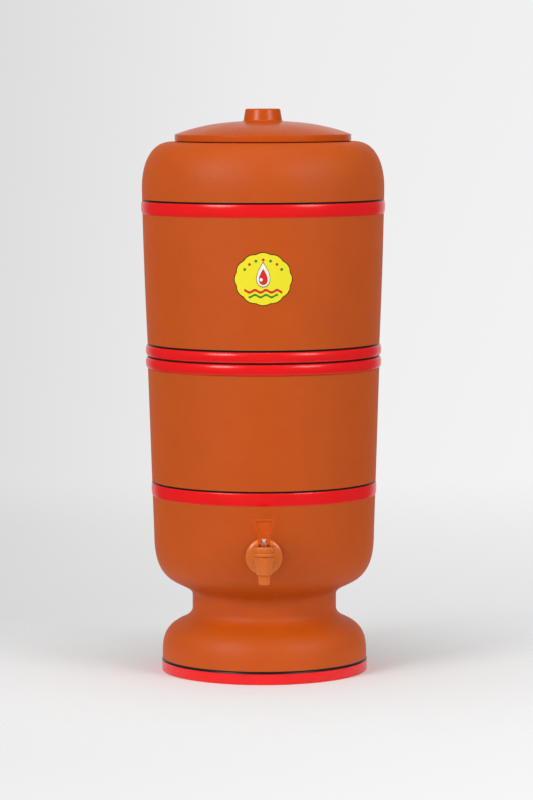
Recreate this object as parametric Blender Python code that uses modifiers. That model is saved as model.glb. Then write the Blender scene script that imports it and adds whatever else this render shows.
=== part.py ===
"""A two-chamber clay water filter on a pedestal foot, with candles, float valves and a lever tap.

Lengths are in metres, +Z is up and the tap faces -Y. The chambers nest rim to rim about one axis,
and each candle hangs its stem, nut and float valve through the upper chamber's floor. The lever's
feet are cams: as the lever tilts they push against the bonnet and lift the stem off its seat.
"""

import math

import bmesh
import bpy
from mathutils import Matrix, Vector
from mathutils.geometry import interpolate_bezier

# Fits, shared by every piece
REST_GAP = 0.0003
PIN_GAP = 0.0002
NEST_GAP = 0.001
CUT_OVERRUN = 0.002
MERGE_DISTANCE = 0.00001

# Facets
POT_SIDES = 36
TAP_SIDES = 20
INNER_SIDES = 16
PIN_SIDES = 10
BEAD_STEPS = 4
CURVE_STEPS = 3
ROUND_STEPS = 4
SHOULDER_STEPS = 7
DOME_STEPS = 5
SHARP_ANGLE = math.radians(32)

# The rims where the chambers meet, and the clay of both
RIM_RADIUS = 0.1099
RIM_BEAD_HEIGHT = 0.0102
RIM_BEAD_PROUD = 0.0018
RIM_LAND = 0.0006
CLAY_WALL = 0.0085
CLAY_FLOOR = 0.011

# Lower chamber: heights from the floor up, then how far each radius lies from the next
LOWER_HEIGHT = 0.3003
FOOT_BAND_HEIGHT = 0.0105
FOOT_BAND_PROUD = 0.0006
FOOT_EDGE = 0.0006
FOOT_FLARE_START = 0.0193
FOOT_FLARE_RISE = 0.0284
FOOT_NECK_RISE = 0.0122
NECK_HEIGHT = 0.0116
BOWL_NECK_RISE = 0.0132
BOWL_RISE = 0.0451
LOWER_BAND_RISE = 0.0382
LOWER_BAND_HEIGHT = 0.0125
LOWER_BAND_PROUD = 0.0008
LOWER_TAPER = 0.00515
BOWL_INSET = 0.02025
BOWL_NECK_INSET = 0.01605
FOOT_NECK_SPREAD = 0.0112
FOOT_SPREAD = 0.01755
BOWL_TURN_SLOPE = math.radians(25.9)
FOOT_TURN_SLOPE = math.radians(24.1)
FLOOR_OVER_NECK = 0.0095
FLOOR_CORNER_INSET = 0.01845
FOOT_HOLLOW_CORNER = 0.006

# Handles of the swelling curves, as shares of the chord that each stands on
WIDE_END_SHARE = 0.54
WIDE_TURN_SHARE = 0.30
NARROW_TURN_SHARE = 0.535
NARROW_END_SHARE = 0.285
BOWL_WALL_SHARE = 0.70
BOWL_FLOOR_SHARE = 0.78
CORNER_SHARE = 0.55

# Upper chamber
UPPER_HEIGHT = 0.2019
UPPER_FLARE = 0.0047
WALL_BELLY = 0.00055
SPIGOT_DEPTH = 0.010
SPIGOT_CHAMFER = 0.0012
SHOULDER_SPREAD = 0.028
SHOULDER_DROP = 0.0445
SHOULDER_POWER = 2.25
UPPER_BAND_FROM_SHOULDER = 0.011
UPPER_BAND_HEIGHT = 0.012
UPPER_BAND_PROUD = 0.0011
MOUTH_LAND = 0.0116
MOUTH_LIP = 0.009
MOUTH_FLAT = 0.006
INNER_CORNER = 0.010

# Lid
LID_INSET = 0.0032
LID_RIM_HEIGHT = 0.0053
LID_RIM_EDGE = 0.0004
LID_STAND = 0.0012
LID_STAND_INSET = 0.0039
LID_DOME_RISE = 0.0126
LID_DOME_POWER = 2.5
LID_WALL = 0.0026
LID_LIP_DEPTH = 0.0085
LID_LIP_WALL = 0.0024
LID_LIP_EDGE = 0.0006
KNOB_HEIGHT = 0.0115
KNOB_FOOT_RADIUS = 0.0185
KNOB_TAPER = 0.0021
KNOB_ROUND = 0.0014

# Candles, one on each side of the axis
CANDLE_SPACING = 0.096
CANDLE_RADIUS = 0.025
CANDLE_HEIGHT = 0.085
CANDLE_WALL = 0.006
CANDLE_CROWN = 0.018
CORE_HEADROOM = 0.011
CORE_GAP = 0.0006
CUP_WALL = 0.0014
CUP_FLOOR = 0.003
CUP_HEIGHT = 0.007
CUP_CHAMFER = 0.0008
STEM_RADIUS = 0.005
STEM_BORE = 0.0022
STEM_HOLE_GAP = 0.001
GASKET_RADIUS = 0.013
GASKET_THICKNESS = 0.002
NUT_WALL = 0.0037
NUT_HEIGHT = 0.009
WING_LENGTH = 0.008
WING_THICKNESS = 0.0032
WING_DROP = 0.0012

# Float valves, screwed onto the lower ends of the candle stems
VALVE_WALL = 0.0029
SOCKET_DEPTH = 0.0144
SKIRT_MARGIN = 0.0014
NOZZLE_ROOT_MARGIN = 0.0024
NOZZLE_LENGTH = 0.0083
NOZZLE_ROOT_RADIUS = 0.0055
NOZZLE_RADIUS = 0.0026
NOZZLE_BORE = 0.0015
HINGE_SETBACK = 0.0095
HINGE_PIN_RADIUS = 0.0012
LUG_THICKNESS = 0.002
LUG_RADIUS = 0.003
LUG_HOLD = 0.0029
ARM_WIDTH = 0.006
ARM_THICKNESS = 0.0032
ARM_EYE_WIDTH = 0.007
ARM_EYE_RADIUS = 0.0026
PAD_RADIUS = 0.0035
PAD_THICKNESS = 0.0028
PAD_SEAT = 0.0011
PAD_CUP_WALL = 0.0014
PAD_CUP_HEIGHT = 0.0042
FLOAT_REACH = 0.0455
FLOAT_HANG = math.radians(28)
FLOAT_RADIUS = 0.013
FLOAT_HEIGHT = 0.020
FLOAT_POWER = 3
PEG_RADIUS = 0.002
PEG_HEAD_RADIUS = 0.0034
PEG_HEAD_HEIGHT = 0.0014
SADDLE_RADIUS = 0.006

# Tap shank, flange and elbow, and the washers and nut that clamp them
SHANK_DROP = 0.0081
SHANK_RADIUS = 0.008
SHANK_PROUD = 0.003
SHANK_CHAMFER = 0.0008
SHANK_BORE = 0.0045
WALL_HOLE_GAP = 0.0006
ELBOW_LENGTH = 0.028
ELBOW_RADIUS = 0.0043
ELBOW_BORE = 0.0026
ELBOW_MARGIN = 0.0001
FLARE_RADIUS = 0.0078
FLARE_LENGTH = 0.0075
FLANGE_RADIUS = 0.0171
FLANGE_RIM = 0.0024
FLANGE_DOME = 0.0022
FLANGE_DOME_SHARES = ((0.62, 1.0), (0.82, 0.72), (0.97, 0.25))
WASHER_THICKNESS = 0.0013
WASHER_INSET = 0.0008
INNER_WASHER_RADIUS = 0.0135
BACK_NUT_FLATS = 0.0225
BACK_NUT_THICKNESS = 0.007

# Tap barrel, spout and valve chamber
BARREL_HEIGHT = 0.0174
BARREL_EDGE = 0.0005
BARREL_TAPER = 0.0027
BARREL_STEP = 0.00155
SPOUT_LENGTH = 0.0094
SPOUT_BORE = 0.0034
SPOUT_WALL = 0.0015
SPOUT_TAPER = 0.0008
SPOUT_ROUND = 0.0008
SEAT_THICKNESS = 0.0033
CHAMBER_INSET = 0.00105
THREAD_WALL = 0.002

# Bonnet: the ribbed cap screwed onto the barrel
BONNET_HEIGHT = 0.0087
BONNET_TOP = 0.0018
BONNET_WALL = 0.0013
BONNET_EDGE = 0.0005
BONNET_LIP_HEIGHT = 0.0028
BONNET_LIP_PROUD = 0.0014
RIB_PROUD = 0.0006
RIB_MARGIN = 0.0008
RIB_COUNT = 20
RIB_SHARE = 0.42

# Stem, seat plug and return spring
TAP_STEM_RADIUS = 0.0016
STEM_TIP_RADIUS = 0.0012
STEM_TIP_LENGTH = 0.0028
COLLAR_THICKNESS = 0.002
COLLAR_INSET = 0.0002
EYE_RADIUS = 0.0024
EYE_WIDTH = 0.0036
PLUG_CLEARANCE = 0.0016
PLUG_HEIGHT = 0.004
PLUG_CHAMFER = 0.0008
SPRING_INSET = 0.0012
SPRING_WIRE = 0.00035
SPRING_TURNS = 5
SPRING_TURN_POINTS = 8

# Lever
TILT = math.radians(60)
LIFT = 0.003
PIN_RISE = 0.0043
LEVER_PIN_RADIUS = 0.001
LEVER_PIN_INSET = 0.0004
SLOT_CLEARANCE = 0.00075
SLOT_CROWN = 0.0009
LEG_WIDTH = 0.00305
LEG_THICKNESS = 0.0034
LEG_OVERLAP = 0.0015
BRIDGE_THICKNESS = 0.0032
PADDLE_FOOT = 0.0051
PADDLE_HEIGHT = 0.0158
PADDLE_WIDTH = 0.0217
PADDLE_THICKNESS = 0.0036
PADDLE_CORNER = 0.0011
PADDLE_BORDER = 0.0021
PADDLE_RECESS = 0.0009
TOE_HEIGHT = 0.0016
ANKLE_RISE = 0.0026
HEEL_REACH = 0.0030
HEEL_ROUND = 0.0010
CAM_STEPS = 6
CORNER_STEPS = 3

# Radii that follow
BOWL_TOP_RADIUS = RIM_RADIUS - LOWER_TAPER
BOWL_TURN_RADIUS = BOWL_TOP_RADIUS - BOWL_INSET
NECK_RADIUS = BOWL_TURN_RADIUS - BOWL_NECK_INSET
FOOT_TURN_RADIUS = NECK_RADIUS + FOOT_NECK_SPREAD
FOOT_RADIUS = FOOT_TURN_RADIUS + FOOT_SPREAD
SHOULDER_RADIUS = RIM_RADIUS + UPPER_FLARE
SHOULDER_TOP_RADIUS = SHOULDER_RADIUS - SHOULDER_SPREAD
MOUTH_RADIUS = SHOULDER_TOP_RADIUS - MOUTH_LAND
LID_RADIUS = SHOULDER_TOP_RADIUS - LID_INSET
SPOUT_END_RADIUS = SPOUT_BORE + SPOUT_WALL
SPOUT_TOP_RADIUS = SPOUT_END_RADIUS + SPOUT_TAPER
BARREL_FOOT_RADIUS = SPOUT_TOP_RADIUS + BARREL_STEP
BARREL_RADIUS = BARREL_FOOT_RADIUS + BARREL_TAPER
CHAMBER_RADIUS = BARREL_FOOT_RADIUS - CHAMBER_INSET
THREAD_RADIUS = CHAMBER_RADIUS + THREAD_WALL
BONNET_CORE_RADIUS = THREAD_RADIUS + REST_GAP + BONNET_WALL
BONNET_LIP_RADIUS = BONNET_CORE_RADIUS + BONNET_LIP_PROUD
PLUG_RADIUS = CHAMBER_RADIUS - PLUG_CLEARANCE
COLLAR_RADIUS = PLUG_RADIUS - COLLAR_INSET
SLOT_WIDTH = EYE_WIDTH + 2 * SLOT_CLEARANCE
FORK_WIDTH = SLOT_WIDTH + 2 * LEG_WIDTH

# Heights that follow
FOOT_TURN_HEIGHT = FOOT_FLARE_START + FOOT_FLARE_RISE
NECK_FOOT = FOOT_TURN_HEIGHT + FOOT_NECK_RISE
NECK_TOP = NECK_FOOT + NECK_HEIGHT
BOWL_TURN_HEIGHT = NECK_TOP + BOWL_NECK_RISE
BOWL_TOP_HEIGHT = BOWL_TURN_HEIGHT + BOWL_RISE
LOWER_FLOOR_HEIGHT = NECK_TOP + FLOOR_OVER_NECK
LOWER_BAND_FOOT = BOWL_TOP_HEIGHT + LOWER_BAND_RISE
UPPER_FOOT = LOWER_HEIGHT + REST_GAP
UPPER_TOP = UPPER_FOOT + UPPER_HEIGHT
FLOOR_UNDERSIDE = UPPER_FOOT - SPIGOT_DEPTH
FLOOR_TOP = FLOOR_UNDERSIDE + CLAY_FLOOR
LID_SEAT = UPPER_TOP + REST_GAP
LID_RIM_FOOT = LID_SEAT + LID_STAND
LID_RIM_TOP = LID_RIM_FOOT + LID_RIM_HEIGHT
CUP_FOOT = FLOOR_TOP + GASKET_THICKNESS + 2 * REST_GAP
NUT_TOP = FLOOR_UNDERSIDE - GASKET_THICKNESS - 2 * REST_GAP
VALVE_TOP = NUT_TOP - NUT_HEIGHT - REST_GAP
SOCKET_FOOT = VALVE_TOP - SOCKET_DEPTH
STEM_END = SOCKET_FOOT + REST_GAP
NOZZLE_END = SOCKET_FOOT - NOZZLE_LENGTH
HINGE_HEIGHT = NOZZLE_END - REST_GAP - PAD_THICKNESS - PAD_SEAT
SHANK_HEIGHT = BOWL_TOP_HEIGHT - SHANK_DROP
BARREL_TOP = SHANK_HEIGHT + ELBOW_RADIUS + ELBOW_MARGIN
BARREL_FOOT = BARREL_TOP - BARREL_HEIGHT
SEAT_HEIGHT = BARREL_FOOT + SEAT_THICKNESS
SPOUT_END = BARREL_FOOT - SPOUT_LENGTH
BONNET_FOOT = BARREL_TOP + REST_GAP
BONNET_CROWN = BONNET_FOOT + BONNET_HEIGHT
THREAD_TOP = BONNET_CROWN - BONNET_TOP - REST_GAP
LEVER_PIN_HEIGHT = BONNET_CROWN + PIN_RISE
COLLAR_FOOT = SEAT_HEIGHT + PLUG_HEIGHT + 2 * REST_GAP


def clear_scene():
    """Removes what the startup file holds."""
    for old in list(bpy.data.objects):
        bpy.data.objects.remove(old, do_unlink=True)


def new_collection(name):
    """A collection in the scene."""
    collection = bpy.data.collections.new(name)
    bpy.context.scene.collection.children.link(collection)
    return collection


def finish(name, colour, roughness, metallic=0):
    """A Principled material with the piece's colour."""
    material = bpy.data.materials.new(name)
    material.use_nodes = True
    shader = material.node_tree.nodes["Principled BSDF"]
    shader.inputs["Base Color"].default_value = (*colour, 1)
    shader.inputs["Roughness"].default_value = roughness
    shader.inputs["Metallic"].default_value = metallic
    material.diffuse_color = (*colour, 1)
    return material


clear_scene()
PIECES = new_collection("clay_water_filter")
TOOLS = new_collection("cutters_and_guides")
CLAY = finish("painted_terracotta", (0.565, 0.093, 0.012), 0.55)
LID_PLASTIC = finish("lid_plastic", (0.590, 0.125, 0.030), 0.38)
TAP_PLASTIC = finish("tap_plastic", (0.665, 0.162, 0.037), 0.35)
LEVER_PLASTIC = finish("lever_plastic", (0.610, 0.100, 0.011), 0.35)
STEM_PLASTIC = finish("stem_plastic", (0.430, 0.328, 0.235), 0.45)
CANDLE_CLAY = finish("candle_ceramic", (0.86, 0.84, 0.79), 0.85)
WHITE_PLASTIC = finish("white_plastic", (0.80, 0.80, 0.78), 0.40)
CHARCOAL = finish("carbon_block", (0.02, 0.02, 0.02), 0.90)
RUBBER = finish("rubber", (0.045, 0.042, 0.040), 0.70)
STEEL = finish("stainless_steel", (0.62, 0.61, 0.59), 0.28, 1)


def guide(name, place, parent=None, turn=(0, 0, 0)):
    """An empty that carries pieces."""
    empty = bpy.data.objects.new(name, None)
    TOOLS.objects.link(empty)
    empty.parent = parent
    empty.location = place
    empty.rotation_euler = turn
    return empty


def add(name, mesh, material, parent, place=(0, 0, 0), turn=(0, 0, 0)):
    """An object with this mesh: a piece if it has a material, or else a helper that is left out."""
    body = bpy.data.objects.new(name, mesh)
    body.parent = parent
    body.location = place
    body.rotation_euler = turn
    if material:
        PIECES.objects.link(body)
        mesh.materials.append(material)
    else:
        TOOLS.objects.link(body)
        body.hide_render = True
        body.display_type = "WIRE"
    return body


def turned(name, outline, sides, material, parent, place=(0, 0, 0), turn=(0, 0, 0)):
    """An outline of (radius, height) turned about Z. It runs down the outer side, and is a loop
    unless it starts on the axis."""
    mesh = bpy.data.meshes.new(name)
    edges = [(i, i + 1) for i in range(len(outline) - 1)]
    if outline[0][0] > 0:
        edges.append((len(outline) - 1, 0))
    mesh.from_pydata([(radius, 0, height) for radius, height in outline], edges, [])
    body = add(name, mesh, material, parent, place, turn)
    screw = body.modifiers.new("turn", "SCREW")
    screw.steps = sides
    screw.render_steps = sides
    screw.use_merge_vertices = True
    screw.merge_threshold = MERGE_DISTANCE
    return body


def flat_shape(name, outlines, depth, facing):
    """A mesh from closed outlines, filled and given this depth. Facing turns the outlines' own
    X, Y and Z into the directions that they take on the piece."""
    curve = bpy.data.curves.new(name, "CURVE")
    curve.dimensions = "2D"
    curve.fill_mode = "BOTH"
    curve.extrude = depth / 2
    for outline in outlines:
        spline = curve.splines.new("POLY")
        spline.points.add(len(outline) - 1)
        for node, (x, y) in zip(spline.points, outline):
            node.co = (x, y, 0, 1)
        spline.use_cyclic_u = True
    return mesh_of_curve(name, curve, facing)


def mesh_of_curve(name, curve, facing):
    """The curve as a mesh, with its caps welded to its sides."""
    holder = bpy.data.objects.new(name, curve)
    TOOLS.objects.link(holder)
    bpy.context.view_layer.update()
    graph = bpy.context.evaluated_depsgraph_get()
    mesh = bpy.data.meshes.new_from_object(holder.evaluated_get(graph))
    bpy.data.objects.remove(holder, do_unlink=True)
    work = bmesh.new()
    work.from_mesh(mesh)
    bmesh.ops.remove_doubles(work, verts=work.verts, dist=MERGE_DISTANCE)
    bmesh.ops.recalc_face_normals(work, faces=work.faces)
    work.to_mesh(mesh)
    work.free()
    mesh.materials.clear()
    mesh.transform(facing)
    return mesh


def rod(name, radius, length, sides, facing):
    """A round bar, centred, along the direction that facing gives its Z axis."""
    work = bmesh.new()
    bmesh.ops.create_cone(
        work, cap_ends=True, segments=sides, radius1=radius, radius2=radius, depth=length
    )
    mesh = bpy.data.meshes.new(name)
    work.to_mesh(mesh)
    work.free()
    mesh.transform(facing)
    return mesh


def block(name, low, high):
    """A box between two corners."""
    low = Vector(low)
    high = Vector(high)
    work = bmesh.new()
    bmesh.ops.create_cube(work, size=1)
    mesh = bpy.data.meshes.new(name)
    work.to_mesh(mesh)
    work.free()
    mesh.transform(Matrix.Translation((low + high) / 2) @ Matrix.Diagonal((*(high - low), 1)))
    return mesh


def combine(body, tool, operation):
    """Joins the tool to the body, cuts it away, or keeps what both share."""
    step = body.modifiers.new(tool.name, "BOOLEAN")
    step.operation = operation
    step.solver = "EXACT"
    step.object = tool


def join(body, tool):
    combine(body, tool, "UNION")


def cut(body, tool):
    combine(body, tool, "DIFFERENCE")


def settle(body):
    """Applies the modifiers, then shades the piece smooth between its sharp edges."""
    bpy.context.view_layer.update()
    graph = bpy.context.evaluated_depsgraph_get()
    mesh = bpy.data.meshes.new_from_object(body.evaluated_get(graph))
    body.modifiers.clear()
    old = body.data
    body.data = mesh
    bpy.data.meshes.remove(old)
    mesh.name = body.name
    mesh.shade_smooth()
    mesh.set_sharp_from_angle(angle=SHARP_ANGLE)
    return body


def between(low, high, height):
    """The point at this height on the straight line through two outline points."""
    return low.lerp(high, (height - low.y) / (high.y - low.y))


def bead(top, foot, proud):
    """A half-round moulding that stands proud of the wall from top to foot."""
    points = []
    for i in range(BEAD_STEPS + 1):
        angle = math.pi * i / BEAD_STEPS
        along = top.lerp(foot, (1 - math.cos(angle)) / 2)
        points.append(along + Vector((proud * math.sin(angle), 0)))
    return points


def arc(start, start_handle, end_handle, end, steps):
    """Points along one Bezier curve, both ends included."""
    ends = [Vector((*point, 0)) for point in (start, start_handle, end_handle, end)]
    return [Vector(point[:2]) for point in interpolate_bezier(*ends, steps + 1)]


def swell(wide, turn, slope, narrow, steps):
    """The curve from a wide upright wall, through its turn, into a narrow upright one."""
    rise = math.copysign(1, narrow.y - wide.y)
    upright = Vector((0, rise))
    way = Vector((-math.cos(slope), rise * math.sin(slope)))
    wide_chord = (turn - wide).length
    narrow_chord = (narrow - turn).length
    first = arc(
        wide,
        wide + upright * wide_chord * WIDE_END_SHARE,
        turn - way * wide_chord * WIDE_TURN_SHARE,
        turn,
        steps,
    )
    second = arc(
        turn,
        turn + way * narrow_chord * NARROW_TURN_SHARE,
        narrow - upright * narrow_chord * NARROW_END_SHARE,
        narrow,
        steps,
    )
    return first + second[1:]


def offset(points, distance):
    """The outline moved outwards, away from its own left side as it runs down."""
    moved = []
    for i, point in enumerate(points):
        run = points[min(i + 1, len(points) - 1)] - points[max(i - 1, 0)]
        moved.append(point + Vector((-run.y, run.x)).normalized() * distance)
    return moved


def radius_at(outline, height):
    """The outline's radius at this height."""
    for high, low in zip(outline, outline[1:]):
        if low.y <= height <= high.y and low.y < high.y:
            return between(low, high, height).x
    return outline[-1].x


def lower_outside():
    """The lower chamber's outer side, from its rim down to the floor."""
    rim = Vector((RIM_RADIUS, LOWER_HEIGHT))
    rim_foot = rim - Vector((0, RIM_BEAD_HEIGHT))
    bowl_top = Vector((BOWL_TOP_RADIUS, BOWL_TOP_HEIGHT))
    band_foot = between(bowl_top, rim_foot, LOWER_BAND_FOOT)
    band_top = between(bowl_top, rim_foot, LOWER_BAND_FOOT + LOWER_BAND_HEIGHT)
    neck_top = Vector((NECK_RADIUS, NECK_TOP))
    neck_foot = Vector((NECK_RADIUS, NECK_FOOT))
    bowl_turn = Vector((BOWL_TURN_RADIUS, BOWL_TURN_HEIGHT))
    foot_turn = Vector((FOOT_TURN_RADIUS, FOOT_TURN_HEIGHT))
    foot_top = Vector((FOOT_RADIUS, FOOT_FLARE_START))
    band_radius = FOOT_RADIUS + FOOT_BAND_PROUD
    points = bead(rim, rim_foot, RIM_BEAD_PROUD)
    points += bead(band_top, band_foot, LOWER_BAND_PROUD)
    points += swell(bowl_top, bowl_turn, BOWL_TURN_SLOPE, neck_top, CURVE_STEPS)
    points += swell(foot_top, foot_turn, FOOT_TURN_SLOPE, neck_foot, CURVE_STEPS)[::-1]
    points += [
        Vector((FOOT_RADIUS, FOOT_BAND_HEIGHT + FOOT_BAND_PROUD)),
        Vector((band_radius, FOOT_BAND_HEIGHT)),
        Vector((band_radius, FOOT_EDGE)),
        Vector((band_radius - FOOT_EDGE, 0)),
    ]
    return points


def foot_hollow():
    """The inside of the pedestal, from its foot ring up to the roof under the chamber's floor."""
    roof = LOWER_FLOOR_HEIGHT - CLAY_FLOOR
    hollow_radius = FOOT_RADIUS - CLAY_WALL
    neck_radius = NECK_RADIUS - CLAY_WALL
    turn = Vector((FOOT_TURN_RADIUS, FOOT_TURN_HEIGHT)) - CLAY_WALL * Vector(
        (math.sin(FOOT_TURN_SLOPE), math.cos(FOOT_TURN_SLOPE))
    )
    wide = Vector((hollow_radius, FOOT_FLARE_START - CLAY_WALL / 2))
    narrow = Vector((neck_radius, NECK_FOOT - CLAY_WALL / 2))
    points = [Vector((hollow_radius, 0))]
    points += swell(wide, turn, FOOT_TURN_SLOPE, narrow, CURVE_STEPS)
    points += [
        Vector((neck_radius, roof - FOOT_HOLLOW_CORNER)),
        Vector((neck_radius - FOOT_HOLLOW_CORNER, roof)),
        Vector((0, roof)),
    ]
    return points


def lower_inside():
    """The water space of the lower chamber, from its rim down to the middle of its floor."""
    wall_top = Vector((RIM_RADIUS - CLAY_WALL, LOWER_HEIGHT))
    wall_foot = Vector((BOWL_TOP_RADIUS - CLAY_WALL, BOWL_TOP_HEIGHT))
    corner = Vector((NECK_RADIUS - FLOOR_CORNER_INSET, LOWER_FLOOR_HEIGHT))
    reach = wall_foot - corner
    bowl = arc(
        wall_foot,
        wall_foot - Vector((0, reach.y * BOWL_WALL_SHARE)),
        corner + Vector((reach.x * BOWL_FLOOR_SHARE, 0)),
        corner,
        ROUND_STEPS,
    )
    return [wall_top] + bowl + [Vector((0, LOWER_FLOOR_HEIGHT))]


def tap_places():
    """How far the tap's flange, the inner washer's face, the shank's end and the barrel stand
    from the vessel's axis. They follow the wall that the tap is clamped to."""
    widest = radius_at(lower_outside(), SHANK_HEIGHT + FLANGE_RADIUS)
    flange = widest + WASHER_THICKNESS + 2 * REST_GAP
    lowest = radius_at(lower_inside(), SHANK_HEIGHT - INNER_WASHER_RADIUS)
    face = math.sqrt(lowest**2 - INNER_WASHER_RADIUS**2) - WASHER_THICKNESS
    end = face - REST_GAP - BACK_NUT_THICKNESS - SHANK_PROUD
    return flange, face, end, flange + ELBOW_LENGTH


def make_lower_chamber(axis, flange, shank_end):
    """The lower pot with its bowl and hollow pedestal, in one piece of clay."""
    outline = lower_inside()[::-1] + lower_outside() + foot_hollow()
    chamber = turned("lower_chamber", outline, POT_SIDES, CLAY, axis)
    drill = rod(
        "tap_hole",
        SHANK_RADIUS + WALL_HOLE_GAP,
        flange - shank_end,
        INNER_SIDES,
        Matrix.Rotation(math.pi / 2, 4, "X"),
    )
    middle = (flange + shank_end) / 2
    cut(chamber, add("tap_hole", drill, None, axis, (0, -middle, SHANK_HEIGHT)))
    settle(chamber)


def upper_outside():
    """The upper chamber's outer side, from its mouth down to the rim that meets the lower one."""
    top = Vector((SHOULDER_TOP_RADIUS, UPPER_TOP))
    spread = SHOULDER_RADIUS - SHOULDER_TOP_RADIUS
    points = [Vector((MOUTH_RADIUS, UPPER_TOP))]
    for i in range(SHOULDER_STEPS + 1):
        angle = math.pi / 2 * i / SHOULDER_STEPS
        out = math.sin(angle) ** (2 / SHOULDER_POWER)
        down = 1 - math.cos(angle) ** (2 / SHOULDER_POWER)
        points.append(top + Vector((spread * out, -SHOULDER_DROP * down)))
    rim_top = Vector((RIM_RADIUS, UPPER_FOOT + RIM_LAND + RIM_BEAD_HEIGHT))
    rim_foot = Vector((RIM_RADIUS, UPPER_FOOT + RIM_LAND))
    wall_top = points[-1]

    def wall(height):
        along = between(rim_top, wall_top, height)
        share = (height - rim_top.y) / (wall_top.y - rim_top.y)
        return along + Vector((4 * WALL_BELLY * share * (1 - share), 0))

    band_top = UPPER_TOP - SHOULDER_DROP - UPPER_BAND_FROM_SHOULDER
    band_foot = band_top - UPPER_BAND_HEIGHT
    points += bead(wall(band_top), wall(band_foot), UPPER_BAND_PROUD)
    for i in range(1, CURVE_STEPS):
        points.append(wall(band_foot + (rim_top.y - band_foot) * i / CURVE_STEPS))
    points += bead(rim_top, rim_foot, RIM_BEAD_PROUD)
    points.append(Vector((RIM_RADIUS - RIM_LAND, UPPER_FOOT)))
    return points


def spigot():
    """The stepped base that drops into the lower chamber's mouth."""
    radius = RIM_RADIUS - CLAY_WALL - NEST_GAP
    return [
        Vector((radius, UPPER_FOOT)),
        Vector((radius, FLOOR_UNDERSIDE + SPIGOT_CHAMFER)),
        Vector((radius - SPIGOT_CHAMFER, FLOOR_UNDERSIDE)),
        Vector((0, FLOOR_UNDERSIDE)),
    ]


def upper_inside():
    """The water space of the upper chamber, from the middle of its floor up to its mouth."""
    wall_foot = RIM_RADIUS - CLAY_WALL
    wall_top = Vector((SHOULDER_RADIUS - CLAY_WALL, UPPER_TOP - SHOULDER_DROP))
    roof = Vector((MOUTH_RADIUS + MOUTH_FLAT, UPPER_TOP - MOUTH_LIP))
    reach = wall_top - roof
    points = [
        Vector((0, FLOOR_TOP)),
        Vector((wall_foot - INNER_CORNER, FLOOR_TOP)),
        Vector((wall_foot, FLOOR_TOP + INNER_CORNER)),
    ]
    for i in range(ROUND_STEPS + 1):
        angle = math.pi / 2 * i / ROUND_STEPS
        out = math.cos(angle) ** (2 / SHOULDER_POWER)
        up = math.sin(angle) ** (2 / SHOULDER_POWER)
        points.append(Vector((roof.x + reach.x * out, wall_top.y - reach.y * up)))
    points.append(Vector((MOUTH_RADIUS, UPPER_TOP - MOUTH_LIP + RIM_LAND)))
    return points


def make_upper_chamber(axis):
    """The upper pot, with two holes in its floor for the candle stems."""
    outline = upper_inside() + upper_outside() + spigot()
    chamber = turned("upper_chamber", outline, POT_SIDES, CLAY, axis)
    for side in (-1, 1):
        drill = rod(
            "stem_hole",
            STEM_RADIUS + STEM_HOLE_GAP,
            CLAY_FLOOR + 2 * CUT_OVERRUN,
            INNER_SIDES,
            Matrix.Identity(4),
        )
        place = (side * CANDLE_SPACING / 2, 0, (FLOOR_TOP + FLOOR_UNDERSIDE) / 2)
        cut(chamber, add("stem_hole", drill, None, axis, place))
    settle(chamber)


def lid_dome(radius, drop):
    """A point of the lid's dome at this radius, this far below its outer face."""
    share = (radius / (LID_RADIUS - LID_RIM_EDGE)) ** LID_DOME_POWER
    return Vector((radius, LID_RIM_TOP + LID_DOME_RISE * (1 - share) - drop))


def make_lid(axis):
    """The moulded lid: a hollow knob on a thin dome, a rim, and a lip that centres it."""
    knob_top = LID_RIM_TOP + LID_DOME_RISE + KNOB_HEIGHT
    dome_edge = LID_RADIUS - LID_RIM_EDGE
    lip_radius = MOUTH_RADIUS - NEST_GAP
    lip_foot = LID_SEAT - LID_LIP_DEPTH
    lip_inside = lip_radius - LID_LIP_WALL
    knob_radius = KNOB_FOOT_RADIUS - KNOB_TAPER
    knob_inside = knob_radius - LID_WALL
    points = [
        Vector((0, knob_top)),
        Vector((knob_radius - KNOB_ROUND, knob_top)),
        Vector((knob_radius - KNOB_ROUND / 4, knob_top - KNOB_ROUND / 4)),
        Vector((knob_radius, knob_top - KNOB_ROUND)),
    ]
    for i in range(DOME_STEPS + 1):
        radius = KNOB_FOOT_RADIUS + (dome_edge - KNOB_FOOT_RADIUS) * i / DOME_STEPS
        points.append(lid_dome(radius, 0))
    points += [
        Vector((LID_RADIUS, LID_RIM_TOP - LID_RIM_EDGE)),
        Vector((LID_RADIUS, LID_RIM_FOOT + LID_RIM_EDGE)),
        Vector((LID_RADIUS - LID_RIM_EDGE, LID_RIM_FOOT)),
        Vector((LID_RADIUS - LID_STAND_INSET, LID_RIM_FOOT)),
        Vector((LID_RADIUS - LID_STAND_INSET, LID_SEAT)),
        Vector((lip_radius, LID_SEAT)),
        Vector((lip_radius, lip_foot + LID_LIP_EDGE)),
        Vector((lip_radius - LID_LIP_EDGE, lip_foot)),
        Vector((lip_inside, lip_foot)),
    ]
    for i in range(DOME_STEPS - 1):
        radius = lip_inside + (KNOB_FOOT_RADIUS - LID_WALL - lip_inside) * i / (DOME_STEPS - 2)
        points.append(lid_dome(radius, LID_WALL))
    points += [Vector((knob_inside, knob_top - LID_WALL)), Vector((0, knob_top - LID_WALL))]
    settle(turned("lid", points, POT_SIDES, LID_PLASTIC, axis))


def ring(inner, outer, foot, top):
    """The outline of a plain ring."""
    return [(outer, top), (outer, foot), (inner, foot), (inner, top)]


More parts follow.
